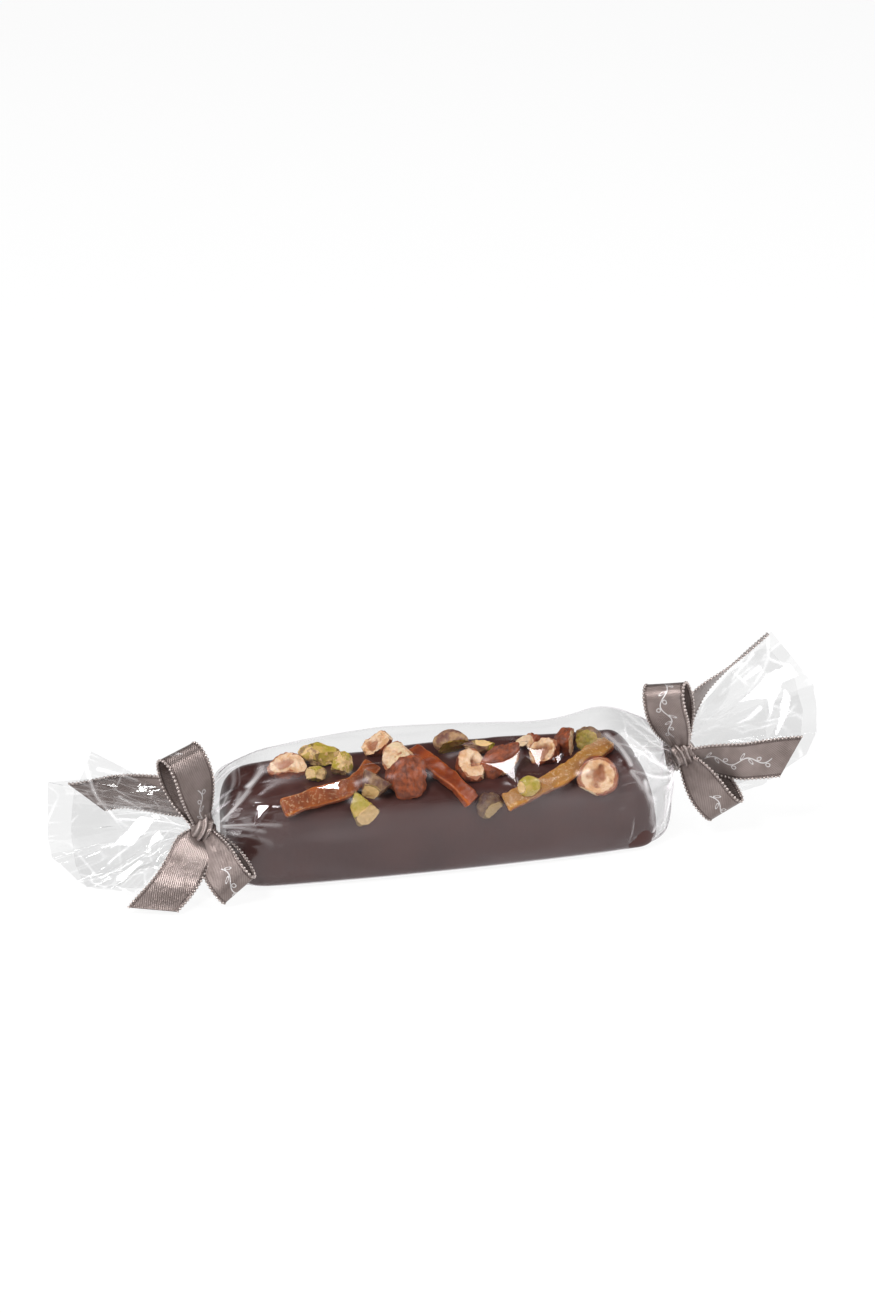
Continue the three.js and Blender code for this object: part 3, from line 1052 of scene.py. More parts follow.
@dataclass
class ClearWrapper:
    """The film: a sleeve over the log, and two sheets flaring from each neck."""

    half_width: float = 24.4
    end_half_width: float = 21.6
    log_height: float = 34.0
    film_rise: float = 9.5
    front_lean: float = 2.8
    base_sink: float = 0.6
    lower_exponent: float = 7.0
    upper_exponent: float = 3.2
    neck_radius: float = 4.6
    neck_half_length: float = 3.6
    shoulder: float = 2.2
    skirt_exponent: int = 12
    peak: tuple[float, float, float] = (4.5, 67.5, 11.0)
    dip: tuple[float, float, float] = (1.6, 40.0, 15.0)
    pleats: tuple[tuple[int, float, float], ...] = ((9, 0.09, 0.0), (17, 0.05, 1.3), (29, 0.035, 4.0))
    stations: int = 350
    round_points: int = 280
    sheet_rays: int = 130
    sheet_rows: int = 100
    sheet_gap: float = 1.3
    top_zone: tuple[float, float] = (26.0, 38.0)
    left_zone: tuple[float, float] = (54.0, 82.0)
    right_zone: tuple[float, float] = (58.0, 76.0)
    clearance: float = 1.07
    peel_clearance: float = 0.62
    slack: tuple[float, float] = (0.045, 0.5)
    full_creases: int = 30
    crease_widths: tuple[float, float] = (0.09, 0.24)
    crease_seeds: tuple[int, int] = (61, 67)
    broad_facets: tuple[int, int, int] = (31, 22, 11)
    fine_facets: tuple[int, int, int] = (47, 46, 25)
    facet_half_span: float = 92.0
    cell_length: float = 13.0
    cells_round: float = 10.0
    sleeve_scale: tuple[float, float] = (1.0, 20.0)
    sheet_scale: tuple[float, float] = (45.0, 60.0)
    finish: ClearFilm = ClearFilm()
    doubled: ClearFilm = ClearFilm(
        passed=0.915, wrinkles=0.03, painted_highlight_share=0.42, tint=(1.0, 1.0, 1.0), turned=0.34,
        crease_highlight=0.36, hazed=0.09, dulled=0.04,
    )

    def film_top(self, x: float) -> float:
        """Returns the height of the film's top line at a place along the log."""
        (rise, *peak), (fall, *dip) = self.peak, self.dip
        return self.log_height + self.film_rise + rise * bell(x, *peak) - fall * bell(x, *dip)

    def pleated(self, angle: np.ndarray, kinds: int) -> np.ndarray:
        """Returns how far the coarsest kinds of pleats at a neck stand out, as shares of its radius."""
        return sum(depth * np.cos(count * angle + turn) for count, depth, turn in self.pleats[:kinds])

    def section(self, x: float, angle: np.ndarray) -> np.ndarray:
        """Draws the sleeve's section at a place along the log.

        Args:
            x: Where along the log.
            angle: Angles round the section, from the top over the front.

        Returns:
            The section's points, one a row.
        """
        end = LEFT_END if x < 0 else RIGHT_END
        along = min(1.0, abs(x) / (abs(end.neck[0]) - self.neck_half_length))
        full_top, full, full_bottom = (
            max(0.0, 1 - along**exponent) ** (1 / self.shoulder) for exponent in end.squareness
        )
        half = mix(self.neck_radius, mix(self.half_width, self.end_half_width, along**2), full)
        top = mix(end.neck[2] + self.neck_radius, self.film_top(x), full_top)
        bottom = mix(end.neck[2] - self.neck_radius, -self.base_sink, full_bottom)
        middle = mix(end.neck[2], self.log_height / 2, full)
        upper = np.cos(angle) > 0
        power = 2 / np.where(
            upper, mix(2, self.upper_exponent, full), mix(2, self.lower_exponent, full)
        )
        pleat = 1 + (1 - full) * self.pleated(angle, 3)
        y = -half * signed_power(np.sin(angle), power) * pleat
        height = np.where(upper, top - middle, middle - bottom) * pleat
        z = middle + height * signed_power(np.cos(angle), power)
        lean = self.front_lean * full * np.clip(z / self.log_height, 0, 1) * np.clip(np.sin(angle), 0, 1)
        below = np.clip(1 - z / end.neck[2], 0, 1)
        shift = end.side * end.skirt * below * full * along**self.skirt_exponent
        return np.stack([x + shift, mix(end.neck[1], 0, full) + y - lean, np.maximum(z, 0.0)], axis=1)

    def places(self) -> np.ndarray:
        """Spaces the sleeve's sections, crowded together near both necks.

        Returns:
            Their places along the log.
        """
        even = np.linspace(-1, 1, self.stations)
        crowded = np.sign(even) * (1 - (1 - np.abs(even)) ** 1.3)
        left = -LEFT_END.neck[0] - self.neck_half_length
        right = RIGHT_END.neck[0] - self.neck_half_length
        return np.where(crowded < 0, crowded * left, crowded * right)

    def turns(self) -> np.ndarray:
        """Spaces the sleeve's points, closest together over its front shoulder.

        Returns:
            Their angles round the sleeve.
        """
        even = np.linspace(-math.pi, math.pi, 2001)
        crowd = np.cumsum(1 + 2.0 * bell(even, 0.75, 0.6))
        run = (crowd - crowd[0]) / (crowd[-1] - crowd[0])
        return np.interp(np.linspace(0, 1, self.round_points), run, even)

    def drape(self, grid: np.ndarray, outward: np.ndarray) -> np.ndarray:
        """Lifts the film off the nuts and the peel that it would pass through.

        Args:
            grid: The film's points.
            outward: The film's outward direction at each of them.

        Returns:
            How far each point must move outward.
        """
        lift = np.zeros(grid.shape[:2])
        solids = [(np.array(k.at), k.frame(), np.array(k.half) * self.clearance) for k in KERNELS]
        for strip in PEELS:
            radius = np.full(3, self.peel_clearance * strip.thickness)
            solids += [(at, np.eye(3), radius) for at in smooth_path(strip.path, 14)]
        for centre, frame_rows, half in solids:
            near = np.linalg.norm(grid - centre, axis=2) < half.max() + 4
            p = (grid[near] - centre) @ frame_rows.T / half
            n = outward[near] @ frame_rows.T / half
            a, b = np.sum(n * n, axis=1), np.sum(p * n, axis=1)
            inside = b * b - a * (np.sum(p * p, axis=1) - 1)
            push = (-b + np.sqrt(np.maximum(inside, 0))) / a
            lift[near] = np.maximum(lift[near], np.where(inside > 0, push, 0))
        slack = mix(*self.slack, ease(self.turns(), 0.0, 0.45))
        for order in (range(1, len(lift)), range(len(lift) - 2, -1, -1)):
            for row in order:
                before = row - order.step
                gap = abs(grid[row, 0, 0] - grid[before, 0, 0])
                lift[row] = np.maximum(lift[row], lift[before] - slack * gap)
        for spread in (np.maximum.reduce, np.mean):
            for _ in range(12 if spread is np.mean else 3):
                padded = np.pad(lift, ((1, 1), (0, 0)), "edge")
                lift = spread([padded[:-2], padded[1:-1], padded[2:]], axis=0)
                lift = spread([np.roll(lift, 1, axis=1), lift, np.roll(lift, -1, axis=1)], axis=0)
        return lift

    def creases(self, end: GatheredEnd, x: np.ndarray, angle: np.ndarray, seed: int) -> np.ndarray:
        """Raises the sharp creases that run out from a neck over the sleeve.

        Args:
            end: The end whose neck they run from.
            x: Where along the log each point of the sleeve is.
            angle: The angles round the sleeve.
            seed: What seeds the creases.

        Returns:
            The height that they add at each point.
        """
        draw = np.random.default_rng(seed)
        away = end.side * (end.neck[0] - x) - self.neck_half_length
        lift = np.zeros(x.shape)
        for number in range(end.creases):
            middle = 2 * math.pi * (number + draw.uniform(-0.4, 0.4)) / end.creases
            width = draw.uniform(*self.crease_widths) * self.full_creases / end.creases
            height = draw.uniform(-0.9, 1.0)
            reach = draw.uniform(*end.crease_reach)
            skew = draw.uniform(-0.012, 0.012)
            off = angle[None, :] - middle - skew * away + math.pi
            off = np.abs(off % (2 * math.pi) - math.pi)
            tent = np.clip(1 - off / (width * (0.5 + away / reach)), 0, 1)
            lift += height * tent * ease(away, 0.5, 7) * (1 - ease(away, 0.55 * reach, reach))
        return np.where(away > 0, lift, 0.0)

    def sleeve(self) -> Skin:
        """Makes the sleeve: the taut film over the log, crumpled towards both necks.

        Returns:
            The sleeve.
        """
        xs = self.places()
        angle = self.turns()
        seam = angle / (2 * math.pi) + 0.5
        grid = np.array([self.section(x, angle) for x in xs])
        along = np.gradient(grid, axis=0)
        around = np.gradient(grid, axis=1)
        outward = unit(np.cross(around, along))
        from_middle = grid - np.array([0, 0, self.log_height / 2])
        outward *= np.sign(np.sum(outward * from_middle, axis=2, keepdims=True))
        u = (grid[:, :, 0] + self.facet_half_span) / (2 * self.facet_half_span)
        v = np.broadcast_to(seam, u.shape)
        x, z = grid[:, :, 0], grid[:, :, 2]
        top, left, right = ease(z, *self.top_zone), ease(-x, *self.left_zone), ease(x, *self.right_zone)
        broad, broad_fold = FacetField(*self.broad_facets).at(u, v, 9.0)
        fine, _ = FacetField(*self.fine_facets).at(u, v, 4.0)
        broad_depth = 0.04 + 0.05 * top + 0.30 * left + 0.70 * right
        fine_depth = 0.05 * left + 0.08 * right
        lift = broad * broad_depth + fine * fine_depth
        left_seed, right_seed = self.crease_seeds
        lift += self.creases(LEFT_END, x, angle, left_seed) + self.creases(RIGHT_END, x, angle, right_seed)
        lift *= ease(z, 0.2, 4.0)
        moved = grid + outward * lift[:, :, None]
        moved += outward * self.drape(moved, outward)[:, :, None]
        mirrored = np.zeros(x.shape)
        for glint in GLINTS:
            flatten, patch = glint.lift(moved, outward, x, angle)
            moved += outward * flatten[:, :, None]
            mirrored = np.maximum(mirrored, patch)
        gloss = np.maximum.reduce([left, right, mirrored])
        moved[:, :, 2] = np.maximum(moved[:, :, 2], 0.0)
        moved[:, -1] = moved[:, 0]
        points = moved[:, :-1].reshape(-1, 3)
        faces = grid_faces(len(xs), self.round_points - 1, closed=True)
        # Painted highlights: white along some facet folds near the ends, and on the listed white facets
        # and creases.
        fold = broad_fold * (0.12 * left + 0.06 * right)
        turned = np.broadcast_to(angle[None, :], x.shape)
        for highlight in SLEEVE_PAINTED_HIGHLIGHTS:
            fold = np.maximum(fold, highlight.at(x, turned, self.sleeve_scale))
        for _ in range(2):
            fold = (np.roll(fold, 1, axis=1) + 2 * fold + np.roll(fold, -1, axis=1)) / 4
            fold[1:-1] = (fold[:-2] + 2 * fold[1:-1] + fold[2:]) / 4
        crush = np.maximum(0.55 * left, right) * (1 - mirrored)
        run = np.cumsum(np.linalg.norm(along, axis=2).mean(axis=1))[:, None]
        paint = {
            "fold": fold, "crush": crush, "gloss": gloss, "fine": 0.15 * right + 0.20 * left,
            "u": np.broadcast_to(run / self.cell_length, x.shape), "v": self.cells_round * v,
        }
        return Skin(points, faces, {key: value[:, :-1].ravel() for key, value in paint.items()})

    def sheet(self, end: GatheredEnd, corners: Sequence[Point], face: int, seed: int) -> Skin:
        """Makes one flared sheet of film beyond a neck.

        Args:
            end: The end that the sheet belongs to.
            corners: The corners of its cut edge.
            face: 1 for the sheet on the front, -1 for the one behind it.
            seed: What seeds its crumples.

        Returns:
            The sheet.
        """
        edge = np.array(corners, float)
        share = run_along(edge) / run_along(edge)[-1]
        across = np.unique(np.concatenate([np.linspace(0, 1, self.sheet_rays), share]).round(6))
        rays = np.stack([np.interp(across, share, edge[:, k]) for k in range(3)], axis=1)
        out = np.linspace(0, 1, self.sheet_rows) ** 1.15
        neck = np.array(end.neck) + [end.side * self.neck_half_length, 0, 0]
        angle = face * math.pi * across
        radius = self.neck_radius * (1 + self.pleated(angle, 2))
        bunch = np.stack([np.zeros_like(angle), -np.sin(angle) * radius, np.cos(angle) * radius], axis=1)
        normal = unit(np.cross(rays, np.gradient(rays, axis=0)))
        normal *= -np.sign(normal[:, 1:2])
        padded = np.pad(normal, ((20, 20), (0, 0)), "edge")
        smooth_normal = unit(
            np.stack([np.convolve(padded[:, k], np.ones(41) / 41, "valid") for k in range(3)], axis=1)
        )
        o = out[:, None]
        opened = ease(o, 0.0, 0.4)
        arch = end.arch * (1 - across[None, :]) ** 1.5 * np.sin(math.pi * np.maximum(o, 1e-6) ** 0.6)
        held = np.sin(math.pi * across)[None, :] ** 0.5
        gap = face * self.sheet_gap * held
        draw = np.random.default_rng(seed + 50)
        count = int(8 + 7 * end.crumple)
        between = (np.arange(1, count) + draw.uniform(-0.4, 0.4, count - 1)) / count
        knots = np.sort(np.concatenate([[0, 1], between]))
        pleats = np.interp(across, knots, draw.uniform(-1, 1, len(knots)))[None, :]
        bends = np.interp(across, knots, draw.uniform(0.25, 0.8, len(knots)))[None, :]
        flutes = 2.1 * end.crumple * pleats * np.minimum(o, bends) * held
        near_knot = np.abs(across[:, None] - knots[None, 1:-1])
        shown = draw.uniform(-0.5, 1, len(knots) - 2).clip(0, 1)
        spoke = (shown * (1 - ease(near_knot * 70, 0.15, 0.6))).max(axis=1)
        u = np.broadcast_to(o, (len(out), len(across)))
        v = np.broadcast_to(across[None, :], u.shape)
        broad, _ = FacetField(seed, 3, 5).at(u, v, 13.0)
        inner = ease(1 - o, 0.45, 0.85)
        crumple = 2.0 * end.crumple * broad * ease(o, 0.1, 0.6) * (0.5 + 0.5 * ease(1 - o, 0.0, 0.35))
        shove = (gap + flutes) * opened + crumple * ease(o, 0.0, 0.15)
        grid = (
            neck
            + bunch[None] * (1 - opened[:, :, None])
            + rays[None] * o[:, :, None]
            + arch[:, :, None] * np.array([0, 0, 1.0])
            + smooth_normal[None] * shove[:, :, None]
        )
        grid[:, :, 2] = np.maximum(grid[:, :, 2], 0.4)
        # Painted highlights: white along some spokes from the neck, and on the front sheet's listed white
        # facets and creases.
        fold = 0.2 * spoke[None, :] * (1 - ease(o, 0.5, 1.0) * 0.6)
        if face > 0:
            for highlight in end.painted_highlights:
                fold = np.maximum(fold, highlight.at(u, v, self.sheet_scale))
        paint = {
            "fold": fold, "gloss": np.ones(u.shape), "crush": np.broadcast_to(1.0 - 0.4 * o, u.shape),
            "fine": np.broadcast_to(0.7 * inner * end.crumple, u.shape),
            "u": end.facets[0] * u + seed, "v": end.facets[1] * v + 3.0 * face + 5.0,
        }
        faces = grid_faces(len(out), len(across))
        return Skin(grid.reshape(-1, 3), faces, {key: value.ravel() for key, value in paint.items()})

    def build(self) -> list[bpy.types.Object]:
        """Builds the sleeve and the sheets.

        Returns:
            The three pieces.
        """
        film = self.finish.material("clear_film")
        folded = self.doubled.material("doubled_film")
        pieces = []
        sleeve = Batch()
        sleeve.add(self.sleeve())
        pieces.append(sleeve.build("film_sleeve", film, "clear_film", ["wrapped_log"]))
        for name, end, seed in (("left", LEFT_END, 11), ("right", RIGHT_END, 23)):
            fan = Batch()
            fan.add(self.sheet(end, end.front, 1, seed))
            fan.add(self.sheet(end, end.back, -1, seed + 3))
            pieces.append(fan.build(f"film_fan_{name}", folded, "clear_film", ["wrapped_log"]))
        return pieces


@dataclass
class ChocolateLog:
    """The log: a long bar with round shoulders, coated in chocolate that lies in slow waves."""

    half_length: float = 80.5
    half_width: float = 24.0
    end_half_width: float = 21.0
    height: float = 34.0
    lift: float = 0.1
    end_slant: float = 7.0
    left_round: float = 15.0
    right_round: float = 10.0
    top_exponent: float = 4.3
    bottom_exponent: float = 9.0
    end_exponent: float = 2.6
    top_share: float = 0.75
    bottom_share: float = 0.45
    wave_depths: tuple[float, float] = (0.38, 0.14)
    mesh_points: tuple[int, int] = (190, 132)
    finish: DarkChocolate = DarkChocolate()

    def build(self) -> bpy.types.Object:
        """Builds the log.

        Returns:
            The piece.
        """
        rows, columns = self.mesh_points
        angle = np.linspace(0, 2 * math.pi, columns, endpoint=False)
        crowded = np.sin(np.linspace(-1, 1, rows) * math.pi / 2)
        xs = self.half_length * crowded * np.abs(crowded) ** 0.35
        loops = []
        for x in xs:
            radius = self.left_round if x < 0 else self.right_round
            into = max(0.0, abs(x) - (self.half_length - radius)) / radius
            shrink = radius * (1 - math.sqrt(max(0.0, 1 - min(1.0, into) ** self.end_exponent)))
            wide = mix(self.half_width, self.end_half_width, (abs(x) / self.half_length) ** 2)
            half = max(0.2, wide - shrink)
            top = self.height - self.top_share * shrink
            bottom = self.lift + self.bottom_share * shrink
            middle = (top + bottom) / 2
            power = 2 / np.where(np.cos(angle) > 0, self.top_exponent, self.bottom_exponent)
            y = -half * signed_power(np.sin(angle), power)
            z = middle + (top - middle) * signed_power(np.cos(angle), power)
            loops.append(np.stack([np.full(columns, x), y, z], axis=1))
        grid = np.array(loops)
        points = grid.reshape(-1, 3)
        outward = unit((points - [0, 0, self.height / 2]) * [0.02, 1, 1])
        broad, fine = self.wave_depths
        waves = broad * ripple(points * [0.6, 1, 1], 5, 26.0) + fine * ripple(points, 6, 9.0)
        points = points + outward * (waves * ease(points[:, 2], 16, 30))[:, None]
        high = np.clip(points[:, 2] / self.height, 0, 1) ** 2
        points[:, 0] -= self.end_slant * high * np.clip(points[:, 0] / self.half_length, 0, 1) ** 5
        points[:, 2] = np.maximum(points[:, 2], self.lift)
        batch = Batch()
        batch.add(closed_tube(points, rows, columns))
        material = self.finish.material("dark_chocolate")
        return batch.build("chocolate_log", material, "wrapped_chocolate", ["wrapped_log"])


# The toppings


class Kind(Enum):
    """What a topping is, and the name of the piece that gathers its kind."""

    HAZELNUT = "hazelnuts"
    PISTACHIO = "pistachios"
    PEEL = "candied_peel"
    CRUMB = "chocolate_crumbs"


FORWARD: Point = (-0.184, -0.864, 0.469)
TIP_NARROWING = 0.55
GROOVES = 9
GRAIN_MM = 1.7
DISH_WOBBLE, DISH_WOBBLE_MM = 0.22, 3.0
TOASTED_RIM = (0.70, 0.92)


@dataclass(frozen=True)
class Cut:
    """A flat or hollowed face on a nut, by its direction and its distance from the middle."""

    facing: Point
    depth: float
    dish: float = 0.0
    dish_reach: float = 0.5
    dish_at: Point = (0.0, 0.0, 0.0)
    pale: float = 0.0
    grain: float = 0.14
    skinned: bool = False


@dataclass(frozen=True)
class Kernel:
    """A nut or a piece of one: where it lies, how large it is, how it's turned and cut.

    Its own X runs along the log and its own Z leans out over the front shoulder, so that its Y
    rises towards the back."""

    kind: Kind
    at: Point
    half: Point
    roll: float = 0.0
    cuts: tuple[Cut, ...] = ()
    rough: float = 0.05
    point: float = 0.0
    groove: float = 0.0
    bare: float = 0.0
    pale: float = 0.0
    tint: float = 1.0
    seed: int = 1

    def frame(self) -> np.ndarray:
        """Finds which way the piece lies.

        Returns:
            Its own X, Y and Z directions, one a row.
        """
        z = unit(FORWARD)
        x = unit(np.cross([0, 0, 1], z))
        y = np.cross(z, x)
        turn = math.radians(self.roll)
        cosine, sine = math.cos(turn), math.sin(turn)
        return np.array([x * cosine + y * sine, y * cosine - x * sine, z])

    def skin(self, ball: np.ndarray, faces: list[tuple[int, ...]]) -> Skin:
        """Shapes the piece from a ball.

        Args:
            ball: The ball's points.
            faces: The ball's faces.

        Returns:
            The piece, in its place.
        """
        swell = 1 + self.rough * ripple(ball, self.seed, 1.1)
        swell += 0.5 * self.rough * ripple(ball, self.seed + 40, 0.4)
        p = ball * swell[:, None]
        if self.point:
            p[:, 0] *= 1 + self.point * np.clip(ball[:, 0], 0, 1) ** 3
            p[:, 1:] *= (1 - TIP_NARROWING * self.point * np.clip(ball[:, 0], 0, 1) ** 2)[:, None]
        if self.groove:
            around = np.arctan2(ball[:, 1], ball[:, 2])
            lines = np.sin(GROOVES * around + 2.0 * ripple(ball, self.seed + 9, 0.9))
            p *= (1 - self.groove * np.clip(lines, 0, 1) ** 2 * (1 - ball[:, 0] ** 2))[:, None]
        p = p * np.array(self.half)
        bare, hollow, rim, pale = (np.zeros(len(p)) for _ in range(4))
        bare += self.bare
        pale += self.pale
        for number, cut in enumerate(self.cuts):
            n = unit(cut.facing)
            beyond = p @ n - cut.depth
            inside = beyond > 0
            if not inside.any():
                continue
            p[inside] -= beyond[inside, None] * n
            flat = p - (p @ n)[:, None] * n
            middle = flat[inside].mean(axis=0)
            away = np.linalg.norm(flat - middle, axis=1)
            reach = np.percentile(away[inside], 98)
            grain = cut.grain * ripple(flat, self.seed + 70 + number, GRAIN_MM)
            wobble = 1 + DISH_WOBBLE * ripple(flat, self.seed + 90, DISH_WOBBLE_MM)
            from_dish = np.linalg.norm(flat - middle - np.array(cut.dish_at), axis=1) * wobble
            bowl = np.clip(1 - (from_dish / (reach * cut.dish_reach)) ** 2, 0, 1) ** 0.8
            p[inside] += ((grain - cut.dish * bowl)[inside, None]) * n
            bare[inside] = 0 if cut.skinned else 1
            pale[inside] = cut.pale
            hollow[inside] = bowl[inside] * min(1.0, cut.dish)
            rim[inside] = ease(away / reach, *TOASTED_RIM)[inside]
        placed = p @ self.frame() + np.array(self.at)
        paint = {
            "skin": 1 - bare, "hollow": hollow, "rim": rim, "pale": pale,
            "tint": np.full(len(p), self.tint),
        }
        return Skin(placed, faces, paint)


def ball_mesh(levels: int) -> tuple[np.ndarray, list[tuple[int, ...]]]:
    """Makes a ball of even triangles.

    Args:
        levels: How many times its faces are divided.

    Returns:
        Its points and faces.
    """
    work = bmesh.new()
    bmesh.ops.create_icosphere(work, subdivisions=levels, radius=1.0)
    work.verts.index_update()
    points = np.array([v.co[:] for v in work.verts])
    faces = [tuple(v.index for v in f.verts) for f in work.faces]
    work.free()
    return points, faces


@dataclass(frozen=True)
class PeelStrip:
    """A strip of candied peel: a bent, twisted band, rind on one side, cut ends."""

    path: tuple[Point, ...]
    width: float
    thickness: float
    lean: tuple[float, float]
    olive: float = 0.0
    sugar: tuple[float, float] = (0.2, 0.2)
    seed: int = 1
    dent: float = 0.0
    square: float = 4.5
    mesh_points: tuple[int, int] = (110, 40)

    def skin(self) -> Skin:
        """Makes the strip.

        Returns:
            The strip.
        """
        rows, columns = self.mesh_points
        line = smooth_path(self.path, rows)
        tangent = unit(np.gradient(line, axis=0))
        t = np.linspace(0, 1, rows)
        flat = unit(np.cross(tangent, [0, 0, 1]))
        upward = unit(np.cross(flat, tangent))
        lean = np.radians(mix(*self.lean, t) + 7 * np.sin(5 * t + self.seed))[:, None]
        side = flat * np.cos(lean) + upward * np.sin(lean)
        over = upward * np.cos(lean) - flat * np.sin(lean)
        angle = np.linspace(0, 2 * math.pi, columns, endpoint=False)
        a = signed_power(np.cos(angle), 2 / self.square)
        b = signed_power(np.sin(angle), 2 / self.square)
        swell = 1 + 0.07 * np.sin(9 * t + self.seed) + 0.05 * np.sin(21 * t + 2 * self.seed)
        pinch = 1 - self.dent * bell(t, 0.72, 0.05)
        ends = np.clip(np.minimum(t, 1 - t) / 0.02, 0, 1) ** 0.5 * 0.22 + 0.78
        wide = (0.5 * self.width * swell * ends * pinch)[:, None, None]
        thick = (0.5 * self.thickness * ends)[:, None, None]
        cup = (0.35 * (a**2 - 0.5))[None, :, None]
        grid = (
            line[:, None] + side[:, None] * a[None, :, None] * wide
            + over[:, None] * (b[None, :, None] * thick + cup)
        )
        points = grid.reshape(-1, 3)
        outward = unit(points - np.repeat(line, columns, axis=0))
        relief = 0.15 * ripple(points, self.seed + 3, 4.0) + 0.045 * ripple(points, self.seed + 4, 1.2)
        points = points + outward * relief[:, None]
        spread = np.repeat(t, columns)
        paint = {
            "olive": self.olive * np.tile(ease(b, -0.2, 0.6), rows),
            "edge": np.tile(ease(np.abs(a), 0.75, 0.99) * ease(np.abs(b), 0.35, 0.9), rows),
            "sugar": mix(*self.sugar, spread),
        }
        return closed_tube(points, rows, columns, paint)


H, P, C = Kind.HAZELNUT, Kind.PISTACHIO, Kind.CRUMB

